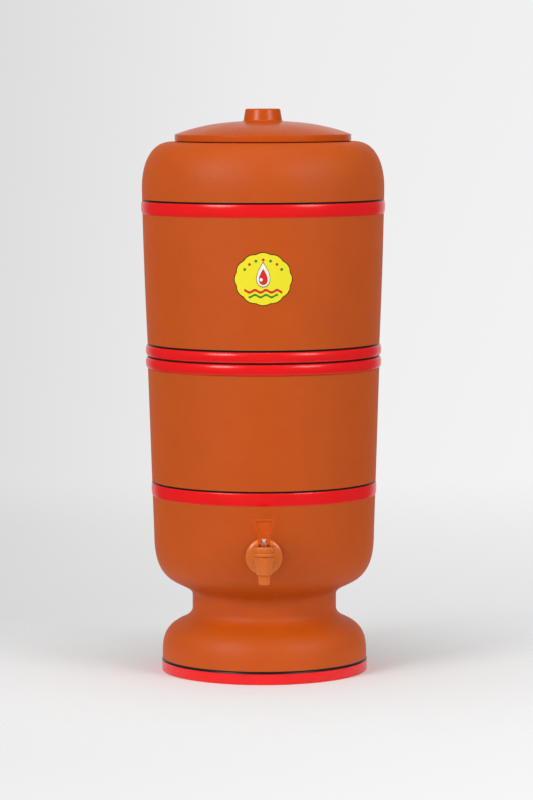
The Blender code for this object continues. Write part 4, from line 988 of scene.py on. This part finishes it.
# %% [markdown]
# The bonnet screws onto the barrel. Its grip is a ring of eighteen soft ribs. Instead of joining
# as many bars, the turned wall is pushed out and in again along a smooth wave, just as the
# electrode that cuts such a mould is shaped.

# %% The bonnet
BONNET_SIDES = 162
BONNET_CORE = 9.5
RIB_PROUD = 1.0
RIB_COUNT = 18
RIB_FOOT = 129.4
RIB_TOP = 134.2
RIB_END = 0.8
RIB_ROUND = 0.7

grip = [(BONNET_CORE, height) for height in evenly(RIB_TOP, RIB_FOOT, 6)]
crown = softened([(1.9, 135.1), (BONNET_CORE, 135.1), grip[0]], 0.55)
skirt = softened([grip[-1], (BONNET_CORE, 129.2), (11.2, 129.2), (11.2, 126.4), (8.5, 126.4)], 0.6)
bonnet_side = crown + grip + skirt + [(8.5, 133.3), (1.9, 133.3)]
bonnet = turned("ribbed_bonnet", [(tap_plastic, bonnet_side)], BONNET_SIDES, TAP)
for corner in bonnet.data.vertices:
    out = math.hypot(corner.co.x, corner.co.y) / MM
    height = corner.co.z / MM
    if abs(out - BONNET_CORE) < SAME_POINT and RIB_FOOT <= height <= RIB_TOP:
        wave = abs(0.5 + 0.5 * math.cos(RIB_COUNT * math.atan2(corner.co.y, corner.co.x)))
        ease = min(1, (RIB_TOP - height) / RIB_END, (height - RIB_FOOT) / RIB_END)
        grow = 1 + RIB_PROUD * ease * wave**RIB_ROUND / out
        corner.co.x *= grow
        corner.co.y *= grow
keep(bonnet, "lower", "tap_plastic", "bonnet")

# %% [markdown]
# The lever is a flat moulding seen from the front and a cam seen from the side. Each of its plates
# starts as a filled 2D curve, because a curve has an extrusion and a bevel of its own: the bevel
# gives the rounded edge that every moulded plate has. The plates are then joined.

# %% Plates


def mesh_of(curve):
    """The mesh that a curve draws with its bevel, without its object."""
    holder = bpy.data.objects.new(curve.name, curve)
    scene.collection.objects.link(holder)
    mesh = worked_out(holder)
    bpy.data.objects.remove(holder, do_unlink=True)
    return mesh


def set_material(mesh, material):
    """Gives the whole mesh one material."""
    mesh.materials.clear()
    mesh.materials.append(material)


def plate(name, outline, depth, facing, edge, material):
    """A flat piece from a closed outline, this deep, with rounded edges. Everything is in
    millimetres, and facing places the outline's own X, Y and Z in the world."""
    curve = bpy.data.curves.new(name, "CURVE")
    curve.dimensions = "2D"
    curve.fill_mode = "BOTH"
    curve.extrude = (depth / 2 - edge) * MM
    curve.bevel_depth = edge * MM
    curve.bevel_resolution = 2
    curve.offset = -edge * MM
    spline = curve.splines.new("POLY")
    spline.points.add(len(outline) - 1)
    for knot, (x, y) in zip(spline.points, outline):
        knot.co = (x * MM, y * MM, 0, 1)
    spline.use_cyclic_u = True
    mesh = mesh_of(curve)
    work = bmesh.new()
    work.from_mesh(mesh)
    bmesh.ops.remove_doubles(work, verts=work.verts, dist=SAME_POINT * MM * 5)
    bmesh.ops.recalc_face_normals(work, faces=work.faces)
    work.to_mesh(mesh)
    work.free()
    set_material(mesh, material)
    mesh.transform(facing)
    return new_piece(name, mesh)


def rounded(corners, radius):
    """A closed outline with each of its corners cut back to an arc."""
    corners = [Vector(corner) for corner in corners]
    closed = [corners[-1]] + corners + [corners[0]]
    return softened(closed, radius)[1:-1]


print("a rounded square has", len(rounded([(0, 0), (9, 0), (9, 9), (0, 9)], 1)), "points")

# %% [markdown]
# The lever turns on a pin through the stem. Its feet are cams: as it tilts, an involute rolls on
# the flat bonnet and lifts the pin by an even amount for each degree, and the stem with it. The
# front is a trapezium with a sunk panel, and a bridge joins it to both legs.

# %% The lever
PIN_HEIGHT = 139.4
PIN_HOLE = 1.2
LEVER_PIN = at(TAP, 0, 0, PIN_HEIGHT)
FACE_ON = Matrix.Translation(LEVER_PIN) @ FORWARD
SIDE_ON = FACE_ON @ Matrix.Rotation(math.pi / 2, 4, "Y")
TILT = math.radians(60)
LIFT = 3.0
CAM_REACH = 4.0
SLOT_HALF = 2.55
LEG = 3.05
FORK_HALF = SLOT_HALF + LEG
BLADE_HALF = 11.1
BLADE_TOP = 20.9
BLADE_FOOT = 5.1
PANEL_DEPTH = 1.9


def cam_outline():
    """The side of one leg about the pin, as (towards the vessel, up). The foot is an involute, so
    it stays on the bonnet while the lever tilts."""
    rate = LIFT / TILT
    cam = []
    for angle in evenly(0, TILT, 12):
        reach = CAM_REACH + rate * angle
        out = reach * math.sin(angle) + rate * math.cos(angle)
        down = reach * math.cos(angle) - rate * math.sin(angle)
        cam.append((-out, -down))
    heel = [(2.0, -CAM_REACH), (2.7, 0.3 - CAM_REACH), (3.0, 1.0 - CAM_REACH)]
    ankle = [(3.0, 0), (2.6, 1.4), (1.7, 2.6), (1.7, 6.6)]
    toe = [(-1.7, 6.6), (-1.7, 2.6), (cam[-1][0], cam[-1][1] + 1.6)]
    return toe + cam[::-1] + heel + ankle


def pin_drill():
    """The drill for the pin, along X."""
    across = Vector((7 * MM, 0, 0))
    return rod(PIN_HOLE * MM, LEVER_PIN - across, LEVER_PIN + across)


blade = [(BLADE_HALF, BLADE_TOP), (-BLADE_HALF, BLADE_TOP)]
blade += [(-FORK_HALF, BLADE_FOOT), (FORK_HALF, BLADE_FOOT)]
lever = plate("cam_lever", rounded(blade, 0.9), 3.6, FACE_ON, 0.35, lever_plastic)
panel = rounded([(7.5, 18.8), (-7.5, 18.8), (-4.1, 7.2), (4.1, 7.2)], 1.0)
panel_face = FACE_ON @ Matrix.Translation((0, 0, PANEL_DEPTH * MM))
combined(lever, plate("panel", panel, 1.8, panel_face, 0.2, lever_plastic), "DIFFERENCE")
half_turn = evenly(0, math.pi, 12)
arch = [(-SLOT_HALF * math.cos(angle), 2.7 + 0.9 * math.sin(angle)) for angle in half_turn]
bridge = [(4.1, 5.9), (-4.1, 5.9), (-4.1, 2.7)] + arch + [(4.1, 2.7)]
combined(lever, plate("bridge", bridge, 3.2, FACE_ON, 0.2, lever_plastic), "UNION")
for way in (-1, 1):
    shift = Matrix.Translation((way * (SLOT_HALF + LEG / 2) * MM, 0, 0))
    leg = plate("leg", cam_outline(), LEG, shift @ SIDE_ON, 0.25, lever_plastic)
    combined(lever, leg, "UNION")
combined(lever, pin_drill(), "DIFFERENCE")
keep(lever, "tap_lever", "lever_plastic", "lever")

# %% [markdown]
# Between the lever's legs stands the stem, pale because acetal isn't coloured. It is a lathed
# rod with an eye for the pin, a collar for the spring and a tip that holds the rubber plug. The
# eye is round above the pin, so that the lever can swing over it, and flat-fronted below. A
# shallow groove runs down its front, left by the mould's split.

# %% The stem
STEM = 1.6
EYE = 2.4
EYE_FOOT = -3.9
EYE_THICK = 3.5
GROOVE = 0.4

stem_side = [(0, PIN_HEIGHT)] + [(STEM, height) for height in evenly(PIN_HEIGHT, 119, 4)]
stem_side += softened([(STEM, 118.6), (4.4, 118.6), (4.4, 116.6), (1.2, 116.6)], 0.3)
stem_side += [(1.2, 114.1), (0.9, 113.8), (0, 113.8)]
stem = turned("lifting_stem", [(stem_acetal, stem_side)], SMALL_SIDES, TAP)
eye = [(EYE * math.cos(angle), EYE * math.sin(angle)) for angle in evenly(0, math.pi, 16)]
eye += [(-EYE, EYE_FOOT), (EYE, EYE_FOOT)]
combined(stem, plate("eye", eye, EYE_THICK, SIDE_ON, 0.3, stem_acetal), "UNION")
combined(stem, pin_drill(), "DIFFERENCE")
groove_top = at(TAP, 0, -EYE - 0.1, PIN_HEIGHT)
groove_foot = at(TAP, 0, -EYE - 0.1, PIN_HEIGHT - 4.5)
combined(stem, rod(GROOVE * MM, groove_top, groove_foot), "DIFFERENCE")
keep(stem, "valve_stem", "stem_plastic", "tap_stem")

# %% [markdown]
# A return spring pushes the stem down again, and gives way when the stem rises. It is stainless wire
# wound into an open coil, so a curve with a round bevel draws it, with a point every fifteen degrees.
# It fills the height of the CAD model's spring, from the stem's collar up under the bonnet.

# %% The return spring
SPRING_WIRE = 0.35
SPRING_RADIUS = 3.2
SPRING_TURNS = 5
TURN_POINTS = 24

spring_foot, spring_top = (corner.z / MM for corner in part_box("return_spring"))
wire = bpy.data.curves.new("wire", "CURVE")
wire.dimensions = "3D"
wire.bevel_depth = SPRING_WIRE * MM
wire.bevel_resolution = 2
wire.use_fill_caps = True
coil = wire.splines.new("POLY")
steps = SPRING_TURNS * TURN_POINTS
coil.points.add(steps)
heights = evenly(spring_foot + SPRING_WIRE, spring_top - SPRING_WIRE, steps)
angles = evenly(0, 2 * math.pi * SPRING_TURNS, steps)
for knot, angle, height in zip(coil.points, angles, heights):
    place = at(TAP, SPRING_RADIUS * math.cos(angle), SPRING_RADIUS * math.sin(angle), height)
    knot.co = (*place, 1)
spring_mesh = mesh_of(wire)
set_material(spring_mesh, drawn_steel)
spring = keep(new_piece("coil_spring", spring_mesh), "lower", "stainless_steel", "return_spring")
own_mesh(spring)

# %% [markdown]
# A rubber washer seals the hole behind the flange. Pressed against the round bowl, its back takes
# the wall's curve. Here the pot itself is the tool that cuts it, so the two fit without a gap.

# %% The washer behind the flange
WASHER = 16.3
WASHER_HOLE = 8.8
WASHER_FRONT = FLANGE - 0.05
WASHER_BACK = 101

washer_side = [(WASHER, WASHER_FRONT), (WASHER, WASHER_BACK)]
washer_side += [(WASHER_HOLE, WASHER_BACK), (WASHER_HOLE, WASHER_FRONT)]
washer = turned_forward("rubber_washer", nitrile_rubber, rounded(washer_side, 0.3), SMALL_SIDES)
combined(washer, new_piece("wall", lower_pot.data.copy(), VESSEL), "DIFFERENCE")
keep(washer, "lower", "rubber", "outer_washer")

# %% [markdown]
# ## Candles, nuts and float valves
#
# They show when the lid or the upper pot is lifted. Each candle is a domed ceramic shell glued
# into a plastic cup, whose hollow stem goes through the floor and is held by a wing nut. Below
# it hangs a valve that a float shuts when the lower pot is full. Left and right are the same.

# %% Candles
SHELL = 25
CORE = 19
SHELL_TOP = 374.5
SHELL_FOOT = 307.5
CUP_FLOOR = 307.2
CUP_FOOT = 304.2
STEM_END = 264.6


def oval(radius, height, steps):
    """A quarter oval from the axis down to the candle's upright wall."""
    quarter = evenly(0, math.pi / 2, steps)
    return [(radius * math.sin(angle), SHELL_TOP + height * math.cos(angle)) for angle in quarter]


def make_candle(side, axis):
    """The shell, the cup with its stem, and the two gaskets of one candle."""
    wall = [(SHELL, SHELL_TOP), (SHELL, SHELL_FOOT), (CORE, SHELL_FOOT), (CORE, SHELL_TOP)]
    shell = oval(SHELL, 18, 16) + softened(wall, 0.5) + oval(CORE, 12, 12)[::-1]
    candle = turned(f"ceramic_candle_{side}", [(candle_ceramic, shell)], SMALL_SIDES, axis)
    keep(candle, "upper", "candle_ceramic", f"candle_shell_{side}")
    rim = [(25.3, CUP_FLOOR), (25.3, 311.2), (26.7, 311.2), (26.7, CUP_FOOT), (5, CUP_FOOT)]
    tube = [(5, CUP_FOOT), (5, STEM_END), (2.2, STEM_END), (2.2, CUP_FLOOR), (25.3, CUP_FLOOR)]
    cup = softened(rim, 0.5) + softened(tube, 0.4)
    holder = turned(f"candle_holder_{side}", [(white_polypropylene, cup)], SMALL_SIDES, axis)
    keep(holder, "upper", "white_plastic", f"candle_cup_{side}")
    for name, foot in (("candle_gasket", 301.9), ("nut_gasket", 288.3)):
        outline = rounded([(13, foot + 2), (13, foot), (5.3, foot), (5.3, foot + 2)], 0.45)
        seal = turned(f"rubber_{name}_{side}", [(nitrile_rubber, outline)], SMALL_SIDES, axis)
        keep(seal, "upper", "rubber", f"{name}_{side}")


print("a candle is", 2 * SHELL, "mm thick and stands", CANDLE_ASIDE, "mm beside the axis")

# %% [markdown]
# A wing nut is a round hub with two ears. The ears are plates with generous corners, so that the
# fingers find them. The float is a blown bottle: a fat round shape with the seam of its mould round
# the middle.

# %% Nuts and floats
FLOAT_HANG = math.radians(28)
FLOAT_NECK = 2.3
FLOAT_BELLY = 10.7
FLOAT_MIDDLE = 11.9
FLOAT_HALF = 10
FLOAT_AWAY = 45.5
ROUNDNESS = 2 / 3


def make_wing_nut(side, axis):
    """The hub with its two ears."""
    hub = rounded([(9, 288), (9, 279), (5.3, 279), (5.3, 288)], 0.5)
    nut = turned(f"winged_nut_{side}", [(white_polypropylene, hub)], SMALL_SIDES, axis)
    for way in (-1, 1):
        ear = rounded([(7.4, 279.3), (17, 279.0), (17, 286.8), (7.4, 286.8)], 1.8)
        side_on = Matrix.Rotation(math.pi / 2 * (1 - way), 4, "Z") @ FORWARD
        facing = Matrix.Translation(axis) @ side_on
        combined(nut, plate("ear", ear, 3.2, facing, 0.6, white_polypropylene), "UNION")
    keep(nut, "upper", "white_plastic", f"wing_nut_{side}")


def make_float(side, axis):
    """The float, drawn level about the hinge of its arm and then hung from it."""
    points = []
    for angle in evenly(0, math.pi, 32):
        up = math.copysign(abs(math.cos(angle)) ** ROUNDNESS, math.cos(angle))
        out = FLOAT_NECK + FLOAT_BELLY * math.sin(angle) ** ROUNDNESS
        points.append((out, FLOAT_MIDDLE + FLOAT_HALF * up))
    points[15:18] = [(12.6, FLOAT_MIDDLE + 0.6), (12.95, FLOAT_MIDDLE), (12.6, FLOAT_MIDDLE - 0.6)]
    ball = turned(f"bottle_float_{side}", [(white_polypropylene, points)], SMALL_SIDES)
    hinge = Matrix.Translation(at(axis, 0, -9.5, 251.8)) @ Matrix.Rotation(-FLOAT_HANG, 4, "X")
    ball.matrix_world = hinge @ Matrix.Translation((0, FLOAT_AWAY * MM, 0))
    keep(ball, f"float_swinger_{side}", "white_plastic", f"float_{side}")


for side, way in (("left", -1), ("right", 1)):
    axis = at(VESSEL, way * CANDLE_ASIDE, 0, 0)
    make_candle(side, axis)
    make_wing_nut(side, axis)
    make_float(side, axis)

# %% [markdown]
# ## The seal on the wall
#
# A printed paper seal is glued to the middle of the upper pot. A flat disc would cut into the
# round wall, and a Shrinkwrap modifier would stretch it. Paper bends but doesn't stretch, so each
# point of the drawing goes as far round the wall as it lies from the seal's middle. Each colour
# is a thin layer of its own, a hair above the one below: a scalloped yellow field, with a drop of
# water over two waves.

# %% Paper that follows the wall
SEAL_HEIGHT = 378.8
LAYER = 0.06
SHEET_RINGS = 8


def on_wall(x, y, lift):
    """The place on the wall of a point of the flat drawing, in metres."""
    out = upper_wall(SEAL_HEIGHT + y).x + lift
    angle = x / out
    return at(VESSEL, out * math.sin(angle), -out * math.cos(angle), SEAL_HEIGHT + y)


def layer(work, outline, middle, level, ink):
    """A sheet inside the outline, in rings about its middle, with its own thickness."""
    middle = Vector(middle)
    outline = [Vector(point) for point in outline]
    top = LAYER * (level + 2)
    foot = LAYER * level
    outwards = evenly(0, 1, SHEET_RINGS)[1:]
    rings = []
    for lift, shares in ((top, outwards), (foot, outwards[::-1])):
        for share in shares:
            places = [on_wall(*middle.lerp(point, share), lift) for point in outline]
            rings.append([work.verts.new(place) for place in places])
    front = work.verts.new(on_wall(*middle, top))
    back = work.verts.new(on_wall(*middle, foot))
    count = len(outline)
    for k in range(count):
        after = (k + 1) % count
        faces = [(front, rings[0][k], rings[0][after]), (back, rings[-1][after], rings[-1][k])]
        for inner, outer in zip(rings, rings[1:]):
            faces.append((inner[k], outer[k], outer[after], inner[after]))
        for face in faces:
            work.faces.new(face).material_index = ink


print("the wall is", round(upper_wall(SEAL_HEIGHT).x, 2), "mm from the axis behind the seal")

# %% [markdown]
# The drawing itself is plain geometry: a scalloped rosette from a cosine, a drop from a circle
# with a pointed top, waves from a sine, and dots.

# %% The drawing
SEAL_WIDE = 27.2
SEAL_HIGH = 24.7
SCALLOPS = 12
SCALLOP_DEPTH = 0.045
WAVE_HEIGHT = 1.1
WAVE_TURN = 0.62


def rosette(inset):
    """The scalloped edge, this far inside its widest reach."""
    points = []
    for angle in evenly(0, 2 * math.pi, 180)[:-1]:
        wave = 1 - SCALLOP_DEPTH * (1 - abs(math.cos(SCALLOPS / 2 * angle)))
        wide = (SEAL_WIDE - inset) * wave * math.cos(angle)
        points.append((wide, (SEAL_HIGH - inset) * wave * math.sin(angle)))
    return points


def drop(width, height, middle):
    """A drop of water: round below, pointed above."""
    points = []
    for angle in evenly(0, 2 * math.pi, 72)[:-1]:
        up = math.sin(angle)
        narrow = math.cos(angle) * abs(0.5 - 0.5 * up) ** 0.55
        points.append((middle[0] + width * narrow, middle[1] + height * up))
    return points


def disc(radius, middle):
    """A round dot."""
    angles = evenly(0, 2 * math.pi, 36)[:-1]
    return [(middle[0] + radius * math.cos(a), middle[1] + radius * math.sin(a)) for a in angles]


def wave_pieces(height, thick, reach):
    """A wave as short lengths, since each sheet is drawn about a middle of its own."""
    lengths = []
    count = 12
    for i in range(count):
        edges = [reach * (2 * (i + share / 4) / count - 1) for share in range(5)]
        crest = [(x, height + WAVE_HEIGHT * math.sin(x * WAVE_TURN)) for x in edges]
        top = [(x, y + thick / 2) for x, y in crest]
        foot = [(x, y - thick / 2) for x, y in crest]
        lengths.append((foot + top[::-1], crest[2]))
    return lengths


def print_ink(name, colour):
    """Printing ink on coated paper: satin, with a trace of the paper's tooth."""
    ink = principled(name, colour, 0.42, IOR=1.5)
    grain(ink, 0.8, 0.006)
    return ink


inks = [
    print_ink("black_ink", "#1c1a12"),
    print_ink("yellow_ink", "#f0e418"),
    print_ink("red_ink", "#d8211f"),
    print_ink("green_ink", "#2f8a2e"),
    print_ink("white_paper", "#f2f0ea"),
]
BLACK, YELLOW, RED, GREEN, WHITE = range(5)
work = bmesh.new()
layer(work, rosette(0), (0, 0), 0, BLACK)
layer(work, rosette(0.75), (0, 0), 1, YELLOW)
layer(work, drop(8.6, 11.8, (0, 4.2)), (0, 1.5), 2, BLACK)
layer(work, drop(8.0, 11.0, (0, 4.1)), (0, 1.4), 3, WHITE)
layer(work, drop(5.4, 7.4, (0, 2.0)), (0, 0.2), 4, RED)
glint = (-2.0, -0.6)
layer(work, disc(1.5, glint), glint, 5, WHITE)
for height, thick, reach, ink in ((-11.2, 2.4, 17.5, RED), (-15.6, 2.0, 13.5, GREEN)):
    for outline, middle in wave_pieces(height, thick, reach):
        layer(work, outline, middle, 2, ink)
for i in range(7):
    angle = math.radians(30 + 20 * i)
    spot = (19.6 * math.cos(angle), 17.6 * math.sin(angle))
    layer(work, disc(1.35, spot), spot, 2, RED if i % 2 else GREEN)
seal_mesh = bpy.data.meshes.new("paper_seal")
work.to_mesh(seal_mesh)
work.free()
for ink in inks:
    seal_mesh.materials.append(ink)
keep(new_piece("paper_seal", seal_mesh), "upper", "painted_terracotta")

# %% [markdown]
# ## What stays from the CAD model
#
# The remaining nodes have the right shape already. They only need the finish of their material.

# %% Finishes for the CAD nodes
FINISHES = {
    pressed_carbon: ["candle_core_left", "candle_core_right"],
    nitrile_rubber: ["inner_washer", "seat_plug", "float_pad_left", "float_pad_right"],
    white_polypropylene: ["back_nut"],
    drawn_steel: ["lever_pin"],
}
for side in ("left", "right"):
    FINISHES[white_polypropylene] += [f"float_valve_body_{side}", f"float_arm_{side}"]
    FINISHES[drawn_steel].append(f"float_hinge_pin_{side}")
for finish, names in FINISHES.items():
    for name in names:
        set_material(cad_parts[name].data, finish)
    print(finish.name, "on", len(names), "CAD nodes")

# %% [markdown]
#
# Both boxes are printed, so they can be compared.

# %% Sizes, and the end
visual_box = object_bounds()
for corner, ours in zip(cad_box, visual_box):
    print("CAD", [round(v / MM, 2) for v in corner], "visual", [round(v / MM, 2) for v in ours])
